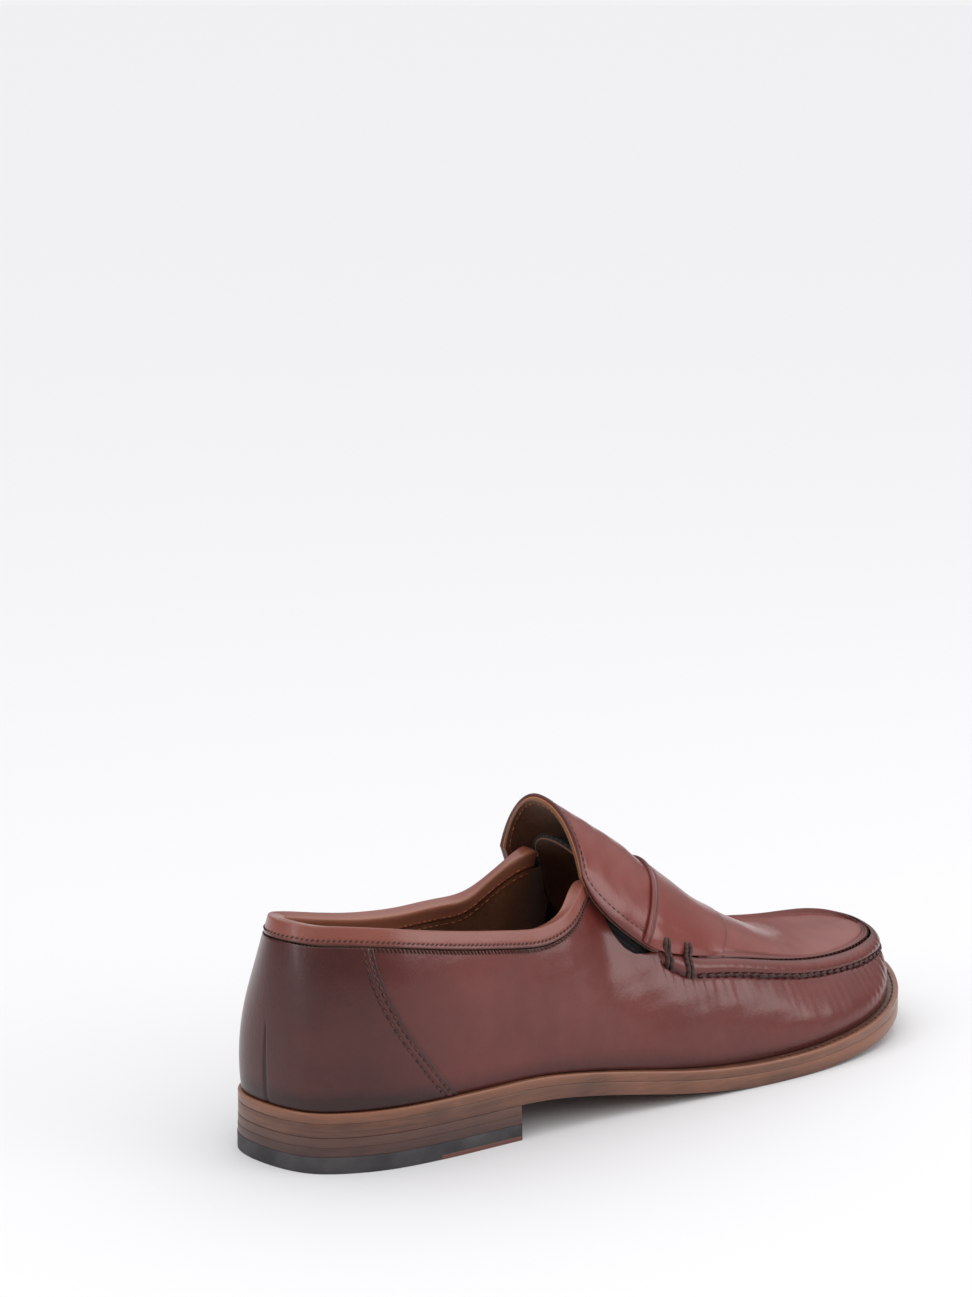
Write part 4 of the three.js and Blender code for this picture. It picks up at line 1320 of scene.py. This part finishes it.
def placeApron(a, b):
    along, across = apronAt(a, b)
    flat = instep(along, across, 0)
    relief = apronRelief(along, across, flat)
    upright = smoothStep(along, 11.2, 12.2)  # at the toe the relief stands straight up
    points = instep(along, across, -relief * (1 - upright))
    points[:, 2] += relief * upright
    return points


def apronShade(a, b, points):
    along, across = apronAt(a, b)
    edge = apronEdge(along, across)
    # burnish at the cut edge, and painted shade in the groove behind the lip
    workedAndShaded = 0.45 * bump(edge, 0, 1.2) + 0.2 * bump(edge, 3.2, 1.2)
    return 0.14 + workedAndShaded + 0.16 * smoothStep(along, 10.5, 12.8)


apron = layGrid("apron", apronSheet["columns"], apronSheet["rows"], placeApron, apronShade)
thicken(apron, 1.7, edge=0.4)
finishPiece(apron, "shoe", calf, ["apron"])

# back and front are how far the strap stands proud at its rear and fore edge
strap = {"columns": 90, "rows": 220, "back": 1.3, "front": 0.55, "under": 0.12, "width": 25,
         "seam": 2.3}


def strapAt(a, b):
    across = 2 * b - 1
    back = 5.1 - 1.33 * (np.hypot(across, 0.2) - 0.2) ** 0.6
    front = 7.6 - 0.9 * across ** 2
    along = mixed(back, front, a)
    reach = mixed(1.0, 0.985, smoothStep(mixed(5.1, 7.6, a), 4.5, 5.4))
    return along, across * reach


def strapFall(across):
    return 1 - 0.5 * smoothStep(np.abs(across), 0.92, 1)


def placeStrap(a, b):
    along, across = strapAt(a, b)
    flat = instep(along, across, 0)
    back = a * strap["width"]
    height = mixed(strap["back"], strap["front"], a) * strapFall(across)
    height += 0.25 * bump(back, 0.9, 0.7) - 0.3 * bump(back, strap["seam"], 0.5)
    bend = 0.3 * bump(np.abs(across), 0.8 + 0.08 * a, 0.035) * bump(a, 0.35, 0.3)
    return instep(along, across, -(height - bend) - 0.16 * wander(flat, 24, 61))


def strapShade(a, b, points):
    back = a * strap["width"]
    edges = 0.25 * bump(back, 0, 0.6) + 0.2 * bump(back, strap["width"], 0.8)
    # painted shade in the groove behind the rolled rear edge, and darker burnished edges
    return 0.16 + 0.4 * bump(back, strap["seam"], 0.7) + edges


strapPiece = layGrid("saddleStrap", strap["columns"], strap["rows"], placeStrap, strapShade)
group = strapPiece.vertex_groups.new(name="skive")
for i in range(len(strapPiece.data.vertices)):
    a = (i % (strap["columns"] + 1)) / strap["columns"]
    proud = float(mixed(strap["back"], strap["front"], a) - strap["under"])
    group.add([i], proud / strap["back"], "REPLACE")
applyModifier(strapPiece, "SOLIDIFY", thickness=strap["back"] * mm, offset=-1,
              vertex_group="skive", use_even_offset=False)
applyModifier(strapPiece, "BEVEL", width=0.2 * mm, segments=2, limit_method="ANGLE",
              angle_limit=math.radians(50), use_clamp_overlap=True)
smooth(strapPiece)
finishPiece(strapPiece, "shoe", calf, ["saddle_strap"])
print("apron and strap made")

# hand-sewn ridge: heavy stitches, and the lashings that hold the strap
sewn = np.linspace(10.3, count - 10.3, 1400)
foot = below(sewn, ridgeLow(sewn) + 0.1)
path, outward = wall(sewn, foot, -0.1), wallNormal(sewn, foot)
finishPiece(sewRow("ridgeStitches", path, outward, ridge["pitch"], 3.5, 1.2, slant=12),
            "shoe", darkThread, ["apron_thread"])
sewn = np.linspace(11.0, count - 11.0, 1400)
path = wall(sewn, 1.0, 1.9)
path[:, 2] += 0.1
tops = np.tile([0.0, 0.0, 1.0], (len(sewn), 1))
finishPiece(sewRow("grooveStitches", path, tops, ridge["pitch"] / 1.5, 2.2, 0.9, slant=28),
            "shoe", darkThread)


def cordMesh(name, points, radius):
    bpy.ops.curve.primitive_nurbs_path_add()
    strand = bpy.context.object
    strand.name = name
    line = strand.data.splines[0]
    line.points.add(len(points) - len(line.points))
    for point, place in zip(line.points, points):
        point.co = (*(place * mm), 1)
    line.use_endpoint_u = True
    strand.data.bevel_depth = radius * mm
    strand.data.bevel_resolution = 2
    strand.data.resolution_u = 6
    strand.data.use_fill_caps = True
    take(strand)
    bpy.ops.object.convert(target="MESH")
    made = bpy.context.object
    made.data.name = name
    bpy.ops.object.shade_smooth()
    return made


lashing = {"radius": 0.85, "places": (9.69, 9.77, 10.11, 10.19), "rows": (4.86, 5.62)}


def lashingStrand(side, place):
    station = np.array([side * place])
    first, last = lashing["places"][0], lashing["places"][-1]
    row = mixed(*lashing["rows"], (place - first) / (last - first))
    low, high = ridgeLow(station), ridgeHigh(station)
    onStrap = lambda across, proud: instep(np.array([row]), np.array([-side * across]), -proud)[0]
    onRoll = lambda share, proud: wall(station, below(station, mixed(high, low, share)), -proud)[0]
    stand = ridge["proud"] + 0.5
    return np.array([
        onStrap(0.89, 0.2),
        onStrap(0.92, strap["back"] + 0.3),
        onStrap(0.965, strap["back"] + 0.1),
        onRoll(0.16, stand - 0.4),
        onRoll(0.5, stand),
        onRoll(0.8, stand - 0.5),
        onRoll(1.05, 0.3),
        onRoll(1.15, -0.9),
    ])


for side, word in ((1, "Outer"), (-1, "Inner")):
    strands = [
        cordMesh(f"lashing{word}{i}", lashingStrand(side, place), lashing["radius"])
        for i, place in enumerate(lashing["places"])
    ]
    bpy.ops.object.select_all(action="DESELECT")
    for strand in strands:
        strand.select_set(True)
    bpy.context.view_layer.objects.active = strands[0]
    bpy.ops.object.join()
    strands[0].name = f"lashing{word}"
    closeUp(strands[0])
    smooth(strands[0], 60)
    node = "lashing_outer" if side > 0 else "lashing_inner"
    finishPiece(strands[0], "shoe", darkThread, [node])
print("stitching made")

# CAD pieces that keep their shape get their finish
kept = {
    "insole_board": board, "heel_counter": board, "toe_puff": board, "heel_pad": foam,
    "cork_filler": cork, "shank": springSteel, "vamp_lining": shadeDarkKip, "apron_lining": shadeDarkKip,
}
for i in range(heel["nails"]):
    kept[f"heel_nail_{i + 1}"] = nailBrass
for name, material in kept.items():
    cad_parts[name].data.materials.clear()
    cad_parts[name].data.materials.append(material)

# floor, light and camera
studio = {"floorRadius": 400, "lens": 91.91, "sensor": 36, "place": (-0.7877, -0.8967, 0.4010),
          "backwards": (-0.62286, -0.75775, 0.19458)}
# Matt white studio paper: seamless and a little grey where the light falls off.
paper, _, paperShader = newFinish("studioPaper", Roughness=0.85)
paperShader.inputs["Base Color"].default_value = hexColour("#e2e2e3")
bpy.ops.object.select_all(action="DESELECT")
bpy.ops.mesh.primitive_circle_add(vertices=96, radius=studio["floorRadius"], fill_type="NGON")
floor = bpy.context.object
floor.name = "studioFloor"
floor.data.materials.append(paper)

world = bpy.data.worlds.new("studio")
bpy.context.scene.world = world
world.use_nodes = True
sky = world.node_tree
toward = addNode(sky, "TexCoord").outputs["Generated"]
split = addNode(sky, "SeparateXYZ", {0: toward})
rise = addNode(sky, "MapRange", {0: split.outputs["Z"], 1: 0.02, 2: 0.8, 3: 0.16, 4: 1.5},
               interpolation_type="SMOOTHSTEP")
seen = addNode(sky, "LightPath").outputs["Is Camera Ray"]
strength = addNode(sky, "Mix", {0: seen, 2: rise.outputs[0], 3: 0.95})
sky.links.new(strength.outputs[0], sky.nodes["Background"].inputs["Strength"])
sky.nodes["Background"].inputs["Color"].default_value = hexColour("#f8f8f9")


def softbox(name, place, aim, width, height, power):
    light = bpy.data.lights.new(name, "AREA")
    light.shape = "RECTANGLE"
    light.size, light.size_y = width, height
    light.energy = power
    box = bpy.data.objects.new(name, light)
    bpy.context.scene.collection.objects.link(box)
    box.location = place
    box.rotation_mode = "QUATERNION"
    box.rotation_quaternion = (Vector(aim) - Vector(place)).to_track_quat("-Z", "Y")


softbox("overhead", (-0.25, -0.35, 1.6), (0, 0, 0.05), 1.2, 0.8, 1.5)
softbox("heelStrip", (-1.5, 0.02, 0.5), (-0.1, 0, 0.06), 0.12, 0.9, 2.5)
softbox("toeSide", (0.8, -1.2, 0.55), (0.0, 0, 0.06), 1.1, 0.5, 5.5)

camera = bpy.data.cameras.new("camera")
camera.lens = studio["lens"]
camera.sensor_width = studio["sensor"]
camera.clip_start, camera.clip_end = 0.05, 100
view = bpy.data.objects.new("camera", camera)
bpy.context.scene.collection.objects.link(view)
view.location = studio["place"]
view.rotation_mode = "QUATERNION"
view.rotation_quaternion = (-Vector(studio["backwards"])).to_track_quat("-Z", "Y")
bpy.context.scene.camera = view
bpy.context.scene.view_settings.view_transform = "Standard"

print("floor, lights and camera set")
